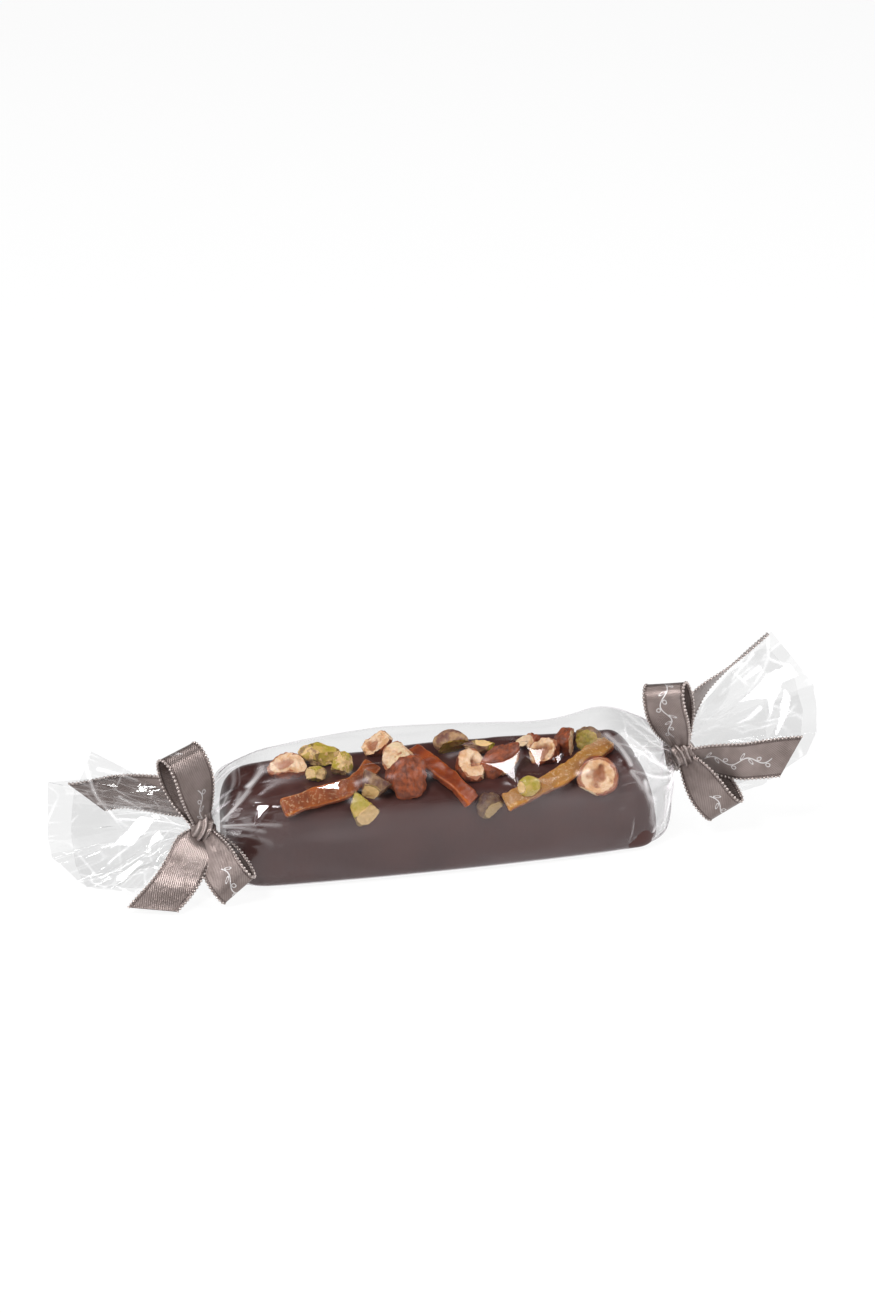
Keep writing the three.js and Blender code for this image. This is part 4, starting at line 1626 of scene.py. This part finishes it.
KERNELS: tuple[Kernel, ...] = (
    Kernel(H, (-55.6, 4.4, 36.7), (7.2, 6.9, 6.6), 0,
           (Cut((-0.30, 0.78, 0.52), 1.3, 2.0, 0.55, (-0.6, 0.3, 0), grain=0.2),
            Cut((0.30, 0.74, 0.58), 2.2, grain=0.2)), 0.05, seed=1),
    Kernel(P, (-42.8, 8.0, 37.9), (8.0, 4.3, 4.0), -8,
           (Cut((0.12, 0.78, 0.6), 3.0), Cut((0.45, -0.15, 0.9), 3.3, pale=0.3)),
           0.10, 0.10, bare=0.50, pale=0.6, seed=2),
    Kernel(P, (-46.5, -4.6, 36.9), (3.9, 3.3, 3.4), 5,
           (Cut((-0.6, 0.1, 0.8), 2.1, pale=0.6), Cut((0.7, -0.1, 0.7), 2.2, pale=0.9),
            Cut((0, 0.9, 0.4), 2.1, pale=0.3), Cut((-0.2, -0.9, 0.3), 2.3)),
           0.07, bare=0.9, pale=0.7, seed=3),
    Kernel(P, (-36.3, -1.8, 37.6), (5.2, 3.6, 3.3), 70,
           (Cut((-0.9, -0.1, 0.42), 2.6, pale=0.8), Cut((0.2, 0.7, 0.65), 2.5, pale=0.3)),
           0.09, bare=0.8, pale=0.6, seed=4),
    Kernel(P, (-27.0, -17.8, 37.2), (6.5, 6.6, 4.8), 0,
           (Cut((0.50, 0.86, 0.05), 2.9, skinned=True), Cut((0.66, -0.74, 0.12), 3.7, skinned=True),
            Cut((-0.98, 0.08, 0.2), 4.4, skinned=True), Cut((-0.30, -0.72, 0.62), 3.5, pale=1.0)),
           0.05, seed=5),
    Kernel(P, (-32.7, -22.3, 30.8), (6.3, 6.6, 4.4), 0,
           (Cut((0.64, 0.77, 0.05), 2.9), Cut((-0.95, 0.24, 0.1), 4.1), Cut((-0.92, -0.38, 0.1), 4.1),
            Cut((-0.30, 0.15, 0.94), 2.3), Cut((0.42, -0.58, 0.70), 2.8, pale=1.0)),
           0.05, bare=0.2, seed=6),
    Kernel(H, (-20.8, 13.6, 37.6), (6.9, 5.2, 5.0), 28,
           (Cut((-0.10, 0.80, 0.58), 0.2, 1.1, 0.42, (-1.2, 0, 0), grain=0.3),
            Cut((-0.95, 0.1, 0.25), 5.0), Cut((0.9, 0.35, 0.2), 5.0)), 0.08, seed=7),
    Kernel(H, (-15.4, -0.4, 38.0), (5.9, 6.1, 5.6), -20,
           (Cut((-0.42, 0.22, 0.88), 1.4, 0.7, 0.30, (1.6, 1.0, 0), pale=0.6, grain=0.22),
            Cut((0.3, 0.92, 0.2), 4.4)), 0.08, seed=8),
    Kernel(H, (-14.7, -15.4, 36.1), (8.3, 7.3, 6.6), 86, (), 0.10, 0.16, 0.10, 0.0, 0.72, seed=9),
    Kernel(P, (6.0, 8.0, 37.8), (6.0, 4.7, 4.8), 5,
           (Cut((0.22, -0.84, 0.50), 2.2),), 0.05, 0.05, tint=1.5, seed=10),
    Kernel(P, (16.5, 3.5, 37.2), (6.0, 2.5, 2.7), 0,
           (Cut((0.15, 0.75, 0.6), 1.9, pale=0.8), Cut((0.85, -0.3, 0.5), 3.4)),
           0.08, 0.2, bare=0.1, tint=1.15, seed=11),
    Kernel(H, (9.9, -12.0, 38.0), (5.9, 6.8, 5.8), 8,
           (Cut((0.40, 0.42, 0.81), 1.2, 2.4, 0.36, (1.2, 0.6, 0), grain=0.22),
            Cut((0.93, -0.30, 0.2), 4.6), Cut((-0.2, 0.97, 0.1), 6.0)), 0.06, seed=12),
    Kernel(H, (20.5, -10.6, 37.6), (8.6, 5.4, 5.4), 42,
           (Cut((0.2, -0.85, 0.45), 4.4, pale=0.2),), 0.08, 0.08, 0.04, tint=0.95, seed=13),
    Kernel(H, (33.2, 3.8, 37.8), (3.9, 1.8, 2.0), 30,
           (Cut((0, 0.35, 0.93), 0.4, pale=0.6),), 0.10, seed=14),
    Kernel(H, (36.4, 2.6, 37.6), (3.6, 3.0, 3.2), 20,
           (Cut((-0.7, 0.3, 0.6), 2.0),), 0.12, seed=15),
    Kernel(H, (38.1, -5.8, 37.6), (6.2, 5.3, 5.2), 24,
           (Cut((-0.25, 0.60, 0.76), 0.8, 1.7, 0.66, (-0.6, 0, 0), grain=0.25),
            Cut((-0.9, 0.3, 0.2), 4.6)), 0.10, seed=16),
    Kernel(C, (31.0, 8.4, 35.4), (2.2, 1.5, 1.6), 20, (), 0.25, seed=17),
    Kernel(H, (48.2, -1.4, 37.8), (4.5, 5.4, 4.8), -6,
           (Cut((0.95, 0.05, 0.30), 1.9, pale=0.1),), 0.07, seed=18),
    Kernel(P, (57.1, -0.9, 37.7), (5.9, 4.9, 4.7), -14,
           (Cut((-0.10, -0.30, 0.95), 2.7), Cut((0.55, -0.35, 0.75), 3.5, pale=0.9)),
           0.07, bare=0.3, tint=0.95, seed=19),
    Kernel(P, (28.2, -24.8, 34.0), (4.2, 3.7, 3.0), 20,
           (Cut((-0.75, 0.15, 0.62), 2.9, pale=1.0),), 0.04, bare=1.0, seed=20),
    Kernel(H, (55.0, -20.8, 32.9), (7.7, 7.3, 5.8), 0,
           (Cut((0, 0.04, 1), 2.3, 1.9, 0.56, grain=0.2), Cut((-0.45, -0.88, 0.15), 6.2, pale=0.5)),
           0.035, seed=21),
    Kernel(P, (13.8, -23.0, 26.9), (4.9, 4.5, 3.4), 30,
           (Cut((0.15, -0.80, 0.55), 2.4, pale=1.0),), 0.08, tint=0.7, seed=22),
)

PEELS: tuple[PeelStrip, ...] = (
    PeelStrip(((-61.5, -21.4, 32.8), (-55.0, -20.6, 34.3), (-48.5, -19.4, 35.2), (-39.4, -17.6, 35.8),
               (-32.1, -12.8, 36.6), (-25.4, -3.2, 37.0)),
              6.9, 4.0, (-46.0, -30.0), 0.12, (0.7, 0.05), 3, 0.16),
    PeelStrip(((-8.2, 6.4, 37.0), (-5.2, -4.1, 37.4), (-2.2, -12.9, 37.2), (1.9, -19.6, 35.3),
               (5.3, -23.0, 32.0), (7.2, -24.2, 29.6)),
              6.4, 3.6, (-12.0, -20.0), 0.0, (0.05, 0.05), 5),
    PeelStrip(((19.6, -24.2, 27.6), (25.6, -24.0, 30.0), (34.7, -22.7, 32.8), (44.0, -19.2, 35.2),
               (53.7, -12.0, 36.9), (63.6, -3.6, 37.0)),
              6.5, 4.2, (-50.0, -14.0), 0.85, (0.65, 0.55), 8),
)


@dataclass
class Toppings:
    """The nuts, peel and crumbs strewn on the log, one piece for each kind."""

    hazelnut: NutFinish = NutFinish()
    pistachio: NutFinish = NutFinish(
        skin=(0.35, 0.21, 0.105), skin_dark=(0.120, 0.045, 0.032), flesh=(0.38, 0.295, 0.020),
        flesh_dark=(0.55, 0.37, 0.10), rim=(0.20, 0.115, 0.030), cream=(0.74, 0.50, 0.23),
        streak=300.0,
    )
    peel: PeelFinish = PeelFinish()
    crumb: DarkChocolate = DarkChocolate()

    def build(self) -> list[bpy.types.Object]:
        """Builds the pieces.

        Returns:
            One piece for each kind.
        """
        ball, faces = ball_mesh(5)
        batches = {kind: Batch() for kind in Kind}
        for kernel in KERNELS:
            batches[kernel.kind].add(kernel.skin(ball, faces))
        for strip in PEELS:
            batches[Kind.PEEL].add(strip.skin())
        dress = {
            Kind.HAZELNUT: (self.hazelnut.material("hazelnut"), "nut_flesh"),
            Kind.PISTACHIO: (self.pistachio.material("pistachio"), "pistachio"),
            Kind.PEEL: (self.peel.material("candied_peel"), "candied_peel"),
            Kind.CRUMB: (self.crumb.material("chocolate_crumb"), "wrapped_chocolate"),
        }
        return [
            batch.build(kind.value, *dress[kind], ["wrapped_log"])
            for kind, batch in batches.items()
        ]


# The bows


@dataclass(frozen=True)
class Loop:
    """A loop of ribbon: out from the knot along reach, open by breadth, and back."""

    reach: Point
    across: Point
    breadth: float


@dataclass(frozen=True)
class Tail:
    """A free end of ribbon, through its points from the knot to a slanting cut."""

    through: tuple[Point, ...]
    across_start: Point
    across_end: Point
    slant: float
    bend: float = 0.0


@dataclass
class SatinBow:
    """A bow of satin ribbon: a turn round the neck, a knot, two loops and two tails."""

    side: str
    end: GatheredEnd
    knot_offset: Point
    loops: tuple[Loop, ...]
    tails: tuple[Tail, ...]
    width: float = 15.0
    pinched: float = 6.0
    thickness: float = 0.34
    lanes: int = 17
    wave_depth: float = 0.07
    wave_length: float = 3.0
    bend_at: tuple[float, float] = (22.0, 5.0)
    bead_pitch: float = 1.45
    cord_radius: float = 0.34
    bead_swell: float = 0.24
    turn_radii: tuple[float, float] = (5.3, 6.1)
    turn_half_width: float = 3.3
    finish: SatinFinish = SatinFinish()

    def strip(
        self, line: np.ndarray, across: np.ndarray, width: np.ndarray,
        slant: float, start: float, bend: float = 0.0,
    ) -> list[Skin]:
        """Makes a strip of ribbon and the corded edges along it.

        Args:
            line: The points of its middle line.
            across: The direction across it at each of them.
            width: Its width there.
            slant: How far one corner of its cut end leads the other.
            start: Where along the ribbon the strip begins, for its print.
            bend: How deep its one broad bend is, near the knot.

        Returns:
            The strip, then its two edges.
        """
        rows = len(line)
        tangent = unit(np.gradient(line, axis=0))
        flat = unit(across - np.sum(across * tangent, axis=1, keepdims=True) * tangent)
        normal = np.cross(tangent, flat)
        t = np.linspace(0, 1, rows)
        ahead = (0.5 * slant * ease(t, 0.55, 1.0))[:, None]
        half = flat * (0.5 * width)[:, None] + tangent * ahead
        lanes = np.linspace(-1, 1, self.lanes)
        squeeze = (1 - width / self.width)[:, None]
        fold = squeeze * (1.5 * (1 - lanes**2) + 0.45 * np.cos(3 * math.pi * lanes))[None, :]
        middle = line[:, None] + half[:, None] * lanes[None, :, None] + normal[:, None] * fold[:, :, None]
        run = run_along(line)
        open_out = ease(width, 0.7 * self.width, self.width)
        wave = self.wave_depth * np.sin(run / self.wave_length + start) * open_out
        wave += bend * bell(run, *self.bend_at)
        middle = middle + normal[:, None] * (wave[:, None] * (1 - 0.4 * lanes**2)[None, :])[:, :, None]
        skin = normal[:, None] * self.thickness / 2
        grid = np.concatenate([middle + skin, (middle - skin)[:, ::-1]], axis=1)
        columns = 2 * len(lanes)
        both = np.concatenate([lanes, lanes[::-1]])
        paint = {
            "along": (run[:, None] + start + ahead * both[None, :]).ravel(),
            "across": np.broadcast_to(both * self.width / 2, (rows, columns)).ravel(),
            "face": np.tile(np.concatenate([np.ones(len(lanes)), np.zeros(len(lanes))]), rows),
        }
        ribbon = closed_tube(grid.reshape(-1, 3), rows, columns, paint)
        return [ribbon, self.cord(middle[:, 0]), self.cord(middle[:, -1])]

    def cord(self, edge: np.ndarray) -> Skin:
        """Makes the corded edge of a ribbon, thick and thin by turns like small stitches.

        Args:
            edge: The points of the ribbon's edge.

        Returns:
            The cord.
        """
        run = run_along(edge)
        steps = max(8, int(run[-1] / self.bead_pitch * 6))
        at = np.linspace(0, run[-1], steps)
        line = np.stack([np.interp(at, run, edge[:, k]) for k in range(3)], axis=1)
        tangent = unit(np.gradient(line, axis=0))
        one = unit(np.cross(tangent, [0.31, 0.52, 0.79]))
        two = np.cross(tangent, one)
        bead = np.cos(2 * math.pi * at / self.bead_pitch)
        radius = self.cord_radius + self.bead_swell * bead
        angle = np.linspace(0, 2 * math.pi, 6, endpoint=False)
        ring = one[:, None] * np.cos(angle)[None, :, None] + two[:, None] * np.sin(angle)[None, :, None]
        points = (line[:, None] + ring * radius[:, None, None]).reshape(-1, 3)
        # Each thick bead is painted paler: partly the thread's own colour, partly a painted highlight.
        paint = {"cord": np.repeat(0.5 + 0.5 * bead, 6), "along": np.repeat(at, 6)}
        return closed_tube(points, steps, 6, paint)

    def loop(self, knot: np.ndarray, shape: Loop, start: float) -> list[Skin]:
        """Makes one loop, out from the knot and back to it.

        Args:
            knot: The middle of the knot.
            shape: The loop's shape.
            start: Where along the ribbon it begins, for its print.

        Returns:
            Its ribbon and corded edges.
        """
        reach = np.array(shape.reach)
        outward = unit(reach)
        wide = unit(np.array(shape.across) - np.dot(shape.across, outward) * outward)
        opening = np.cross(outward, wide)
        points = []
        for turn in np.linspace(0, 2 * math.pi, 13):
            far = 0.5 - 0.5 * math.cos(turn)
            points.append(
                knot + outward * np.linalg.norm(reach) * far**0.8
                + opening * 0.5 * shape.breadth * math.sin(turn) * (0.55 + 0.6 * far)
            )
        line = smooth_path(points, 130)
        t = np.linspace(0, 1, len(line))
        width = mix(self.pinched, self.width, ease(np.sin(math.pi * t), 0.1, 0.8))
        return self.strip(line, np.broadcast_to(wide, line.shape), width, 0.0, start)

    def tail(self, knot: np.ndarray, shape: Tail, start: float) -> list[Skin]:
        """Makes one tail, from the knot to its slanting cut.

        Args:
            knot: The middle of the knot.
            shape: The tail's shape.
            start: Where along the ribbon it begins, for its print.

        Returns:
            Its ribbon and corded edges.
        """
        line = smooth_path([tuple(knot), *shape.through], 110)
        t = np.linspace(0, 1, len(line))
        share = ease(t, 0.1, 0.9)[:, None]
        across = np.array(shape.across_start) * (1 - share) + np.array(shape.across_end) * share
        width = mix(self.pinched, self.width, ease(t, 0.02, 0.42))
        return self.strip(line, across, width, shape.slant, start, shape.bend)

    def neck_turn(self) -> Skin:
        """Makes the turn of ribbon round the gathered film, folded into fine pleats.

        Returns:
            The turn, a closed ring.
        """
        rows, columns = 96, 22
        angle = np.linspace(0, 2 * math.pi, rows, endpoint=False)
        s = np.linspace(-1, 1, columns // 2)
        pleats = 0.28 * np.cos(5 * math.pi * s)[None, :]
        pleats = pleats + 0.12 * np.cos(11 * s[None, :] + 3 * np.sin(angle)[:, None])
        outer = self.turn_radii[1] + pleats + 0.5 * (1 - s**2)[None, :]
        inner = np.full_like(outer, self.turn_radii[0])
        radius = np.concatenate([outer, inner[:, ::-1]], axis=1)
        across = np.concatenate([s, s[::-1]]) * self.turn_half_width
        x = np.broadcast_to(across, radius.shape) + 0.4 * np.sin(2 * angle)[:, None]
        y, z = -np.sin(angle)[:, None] * radius, np.cos(angle)[:, None] * radius
        grid = np.stack([x, y, z], axis=2) + np.array(self.end.neck)
        faces = grid_faces(rows, columns, closed=True)
        last = (rows - 1) * columns
        faces += [(last + c, last + (c + 1) % columns, (c + 1) % columns, c) for c in range(columns)]
        along = np.repeat(angle * 6, columns)
        paint = {"along": along, "across": np.tile(across * 1.6, rows)}
        return Skin(grid.reshape(-1, 3), faces, paint)

    def knot_lump(self, centre: np.ndarray, half: Point, tilt: float, seed: int) -> Skin:
        """Makes one lump of the knot: ribbon pulled tight over itself, with pleats that bunch.

        Args:
            centre: The lump's middle.
            half: Its half sizes.
            tilt: How far it's turned in the plane that faces the eye, in degrees.
            seed: What seeds its pleats.

        Returns:
            The lump.
        """
        ball, faces = ball_mesh(5)
        around = np.arctan2(ball[:, 2], ball[:, 1])
        swell = 1 + 0.05 * ripple(ball, seed, 0.9)
        fold = np.cos(13.0 * ball[:, 0] + 0.5 * np.sin(2 * around) + seed)
        pleat = 0.11 * fold * (1 - ball[:, 0] ** 2)
        p = ball * (swell + pleat)[:, None]
        p[:, 0] *= 1 - 0.22 * (1 - np.abs(ball[:, 0])) * np.cos(2 * around)
        p = p * np.array(half)
        turn = math.radians(tilt)
        x = p[:, 0] * math.cos(turn) - p[:, 2] * math.sin(turn)
        z = p[:, 0] * math.sin(turn) + p[:, 2] * math.cos(turn)
        points = np.stack([x, p[:, 1], z], axis=1) + centre
        # The pleats' ridges are painted paler with the cord colour: a painted highlight.
        paint = {"along": around * 4.5, "across": ball[:, 0] * 3.5, "cord": 0.45 * np.clip(fold, 0, 1)}
        return Skin(points, faces, paint)

    def build(self) -> bpy.types.Object:
        """Builds the bow.

        Returns:
            The piece.
        """
        knot = np.array(self.end.neck) + np.array(self.knot_offset)
        batch = Batch()
        batch.add(self.neck_turn())
        lean = 28 * self.end.side
        batch.add(self.knot_lump(knot + [0, -1.9, 0], (4.7, 4.3, 5.1), lean, 3))
        batch.add(self.knot_lump(knot + [-0.6 * self.end.side, 0.6, 5.0], (3.2, 3.2, 3.6), -lean, 8))
        batch.add(self.knot_lump(knot + [-1.6 * self.end.side, 2.2, -4.6], (3.2, 3.6, 3.0), lean, 5))
        for number, loop in enumerate(self.loops):
            for skin in self.loop(knot, loop, 7.0 + 13 * number):
                batch.add(skin)
        for number, tail in enumerate(self.tails):
            for skin in self.tail(knot, tail, 31.0 - 4 * number):
                batch.add(skin)
        material = self.finish.material(f"satin_{self.side}")
        solid = f"ribbon_bow_{self.side}"
        return batch.build(f"satin_bow_{self.side}", material, "satin_ribbon", [solid])


LEFT_BOW = SatinBow(
    side="left", end=LEFT_END, knot_offset=(-0.3, -8.4, 3.0),
    loops=(
        Loop((-7, 3, 30.5), (-0.9, -0.42, 0), 13),
        Loop((9.4, -23.5, -13.6), (0.717, -0.111, 0.686), 8),
    ),
    tails=(
        Tail(((-92, -15, 19), (-100.5, -23, 9), (-110.5, -30.5, 2.4)),
             (-0.6, 0.6, 0.5), (-1, 0.3, 0.1), 9),
        Tail(((-91, 1, 27.5), (-100.6, 7, 28), (-114.9, 14, 27.2), (-128, 17, 25)),
             (0, 0.3, 0.9), (0.1, -0.25, 0.97), 10),
    ),
)
RIGHT_BOW = SatinBow(
    side="right", end=RIGHT_END, knot_offset=(-0.3, -8.4, 5.4),
    loops=(
        Loop((-9, -4, 29), (0.9, -0.43, 0), 13),
        Loop((15, -10.5, -21.5), (0.62, -0.36, 0.66), 9),
    ),
    tails=(
        Tail(((97, -12, 32), (111, -16.5, 31.5), (129, -20, 33)), (-0.3, -0.5, 0.8), (0, 0.1, 1), 9, 1.2),
        Tail(((93.3, 2, 39.7), (101, 7, 48), (114, 12.5, 55.6), (130.6, 18, 65.6)),
             (0.7, 0.45, -0.55), (0.25, 0.88, -0.4), 4),
    ),
)


# The studio


@dataclass(frozen=True)
class Softbox:
    """A square lamp that looks at the log from a direction round it."""

    azimuth: float
    elevation: float
    distance: float
    size: float
    power: float


@dataclass
class Studio:
    """The pale floor, the lamps, the dim room and the camera."""

    azimuth: float = -12.0
    elevation: float = 28.0
    distance: float = 1147.0
    aim: Point = (0.0, 0.0, 17.0)
    aim_pixel: tuple[float, float] = (438.6, 803.8)
    photo: tuple[float, float] = (875.0, 1313.0)
    lens: float = 85.0
    sensor: float = 36.0
    softboxes: tuple[Softbox, ...] = (
        Softbox(-48, 52, 1.7, 0.42, 19.0),
        Softbox(62, 50, 1.7, 0.40, 8.0),
        Softbox(-160, 60, 1.8, 0.4, 6.0),
        Softbox(-82, 24, 1.5, 0.9, 7.5),
        Softbox(80, 26, 1.5, 1.0, 9.5),
    )
    room: float = 0.04
    cards: float = 0.25
    floor_glow: tuple[float, float] = (0.91, 0.45)
    floor_paint: float = 0.10
    floor_half: float = 6.0
    floor_drop: float = 0.0002

    def towards(self, azimuth: float, elevation: float) -> Vector:
        """Returns the direction from the log to a place round it, by its angles in degrees."""
        a, e = math.radians(azimuth), math.radians(elevation)
        return Vector((math.sin(a) * math.cos(e), -math.cos(a) * math.cos(e), math.sin(e)))

    def camera(self) -> None:
        """Places the camera where the photograph was taken from."""
        pixels = self.lens / self.sensor * self.photo[1]
        down = math.atan((self.aim_pixel[1] - self.photo[1] / 2) / pixels)
        aside = math.atan((self.aim_pixel[0] - self.photo[0] / 2) / pixels)
        back = self.towards(self.azimuth, self.elevation)
        look = -self.towards(self.azimuth + math.degrees(aside), self.elevation - math.degrees(down))
        data = bpy.data.cameras.new("camera")
        data.lens = self.lens
        data.sensor_fit = "VERTICAL"
        data.sensor_width = data.sensor_height = self.sensor
        data.clip_end = 50.0
        camera = bpy.data.objects.new("camera", data)
        camera.location = Vector(self.aim) * MM + back * self.distance * MM
        camera.rotation_mode = "QUATERNION"
        camera.rotation_quaternion = look.to_track_quat("-Z", "Y")
        bpy.context.scene.collection.objects.link(camera)
        bpy.context.scene.camera = camera

    def lamps(self) -> None:
        """Hangs the softboxes."""
        for number, box in enumerate(self.softboxes):
            data = bpy.data.lights.new(f"softbox_{number}", "AREA")
            data.shape = "SQUARE"
            data.size = box.size
            data.energy = box.power
            lamp = bpy.data.objects.new(f"softbox_{number}", data)
            direction = self.towards(box.azimuth, box.elevation)
            lamp.location = direction * box.distance
            lamp.rotation_mode = "QUATERNION"
            lamp.rotation_quaternion = direction.to_track_quat("Z", "Y")
            bpy.context.scene.collection.objects.link(lamp)

    def floor(self) -> None:
        """Lays the pale floor, which glows a little so that it stays white to its far side, and glows more
        in front of the log towards its right.
        """
        half = self.floor_half
        mesh = bpy.data.meshes.new("floor")
        corners = [(-half, -half, 0), (half, -half, 0), (half, half, 0), (-half, half, 0)]
        mesh.from_pydata(corners, [], [(0, 1, 2, 3)])
        board = NodeBoard("pale_floor")
        paint, (left, right) = self.floor_paint, self.floor_glow
        axes = board.add("SeparateXYZ", {0: board.place()})
        before = board.span(axes.outputs["Y"], -0.07, -0.03, 1.0, 0.0)
        brighter = board.times(before, board.span(axes.outputs["X"], -0.06, 0.10, 0.0, right))
        mesh.materials.append(board.surface(
            (paint, paint, paint, 1), 0.9, None, Specular_IOR_Level=0.0,
            Emission_Color=(1, 1, 1, 1), Emission_Strength=board.plus(brighter, left),
        ))
        plane = bpy.data.objects.new("floor", mesh)
        plane.location.z = -self.floor_drop
        bpy.context.scene.collection.objects.link(plane)
        plane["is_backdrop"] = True

    def surroundings(self) -> None:
        """Makes the dim room, with a tall pale card on either side of the log."""
        world = bpy.data.worlds.new("room")
        world.use_nodes = True
        tree = world.node_tree
        background = tree.nodes["Background"]
        background.inputs["Color"].default_value = (0.97, 0.98, 1.0, 1.0)
        axes = tree.nodes.new("ShaderNodeSeparateXYZ")
        tree.links.new(tree.nodes.new("ShaderNodeTexCoord").outputs["Generated"], axes.inputs[0])
        aside = tree.nodes.new("ShaderNodeMath")
        aside.operation = "ABSOLUTE"
        tree.links.new(axes.outputs["X"], aside.inputs[0])
        card = tree.nodes.new("ShaderNodeMapRange")
        card.interpolation_type = "SMOOTHSTEP"
        card.inputs["From Min"].default_value = 0.5
        card.inputs["From Max"].default_value = 0.62
        card.inputs["To Min"].default_value = self.room
        card.inputs["To Max"].default_value = self.cards
        tree.links.new(aside.outputs[0], card.inputs["Value"])
        tree.links.new(card.outputs["Result"], background.inputs["Strength"])
        bpy.context.scene.world = world

    def build(self) -> None:
        """Sets up the whole studio."""
        self.camera()
        self.lamps()
        self.floor()
        self.surroundings()
        scene = bpy.context.scene
        scene.view_settings.view_transform = "Standard"
        scene.view_settings.look = "None"
        scene.cycles.transparent_max_bounces = 40


def write_sizes() -> None:
    """Finds the solids' box and the dressed part's box side by side, but writes neither."""
    boxes = {"cad": cad_box, "visual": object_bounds()}
    plain = {key: [list(map(float, corner)) for corner in box] for key, box in boxes.items()}


def main() -> None:
    """Builds the studio, the log with its toppings, the film and both bows."""
    logging.basicConfig(level=logging.INFO, format="%(message)s")
    Studio().build()
    ChocolateLog().build()
    Toppings().build()
    ClearWrapper().build()
    LEFT_BOW.build()
    RIGHT_BOW.build()
    write_sizes()


if __name__ == "__main__":
    main()
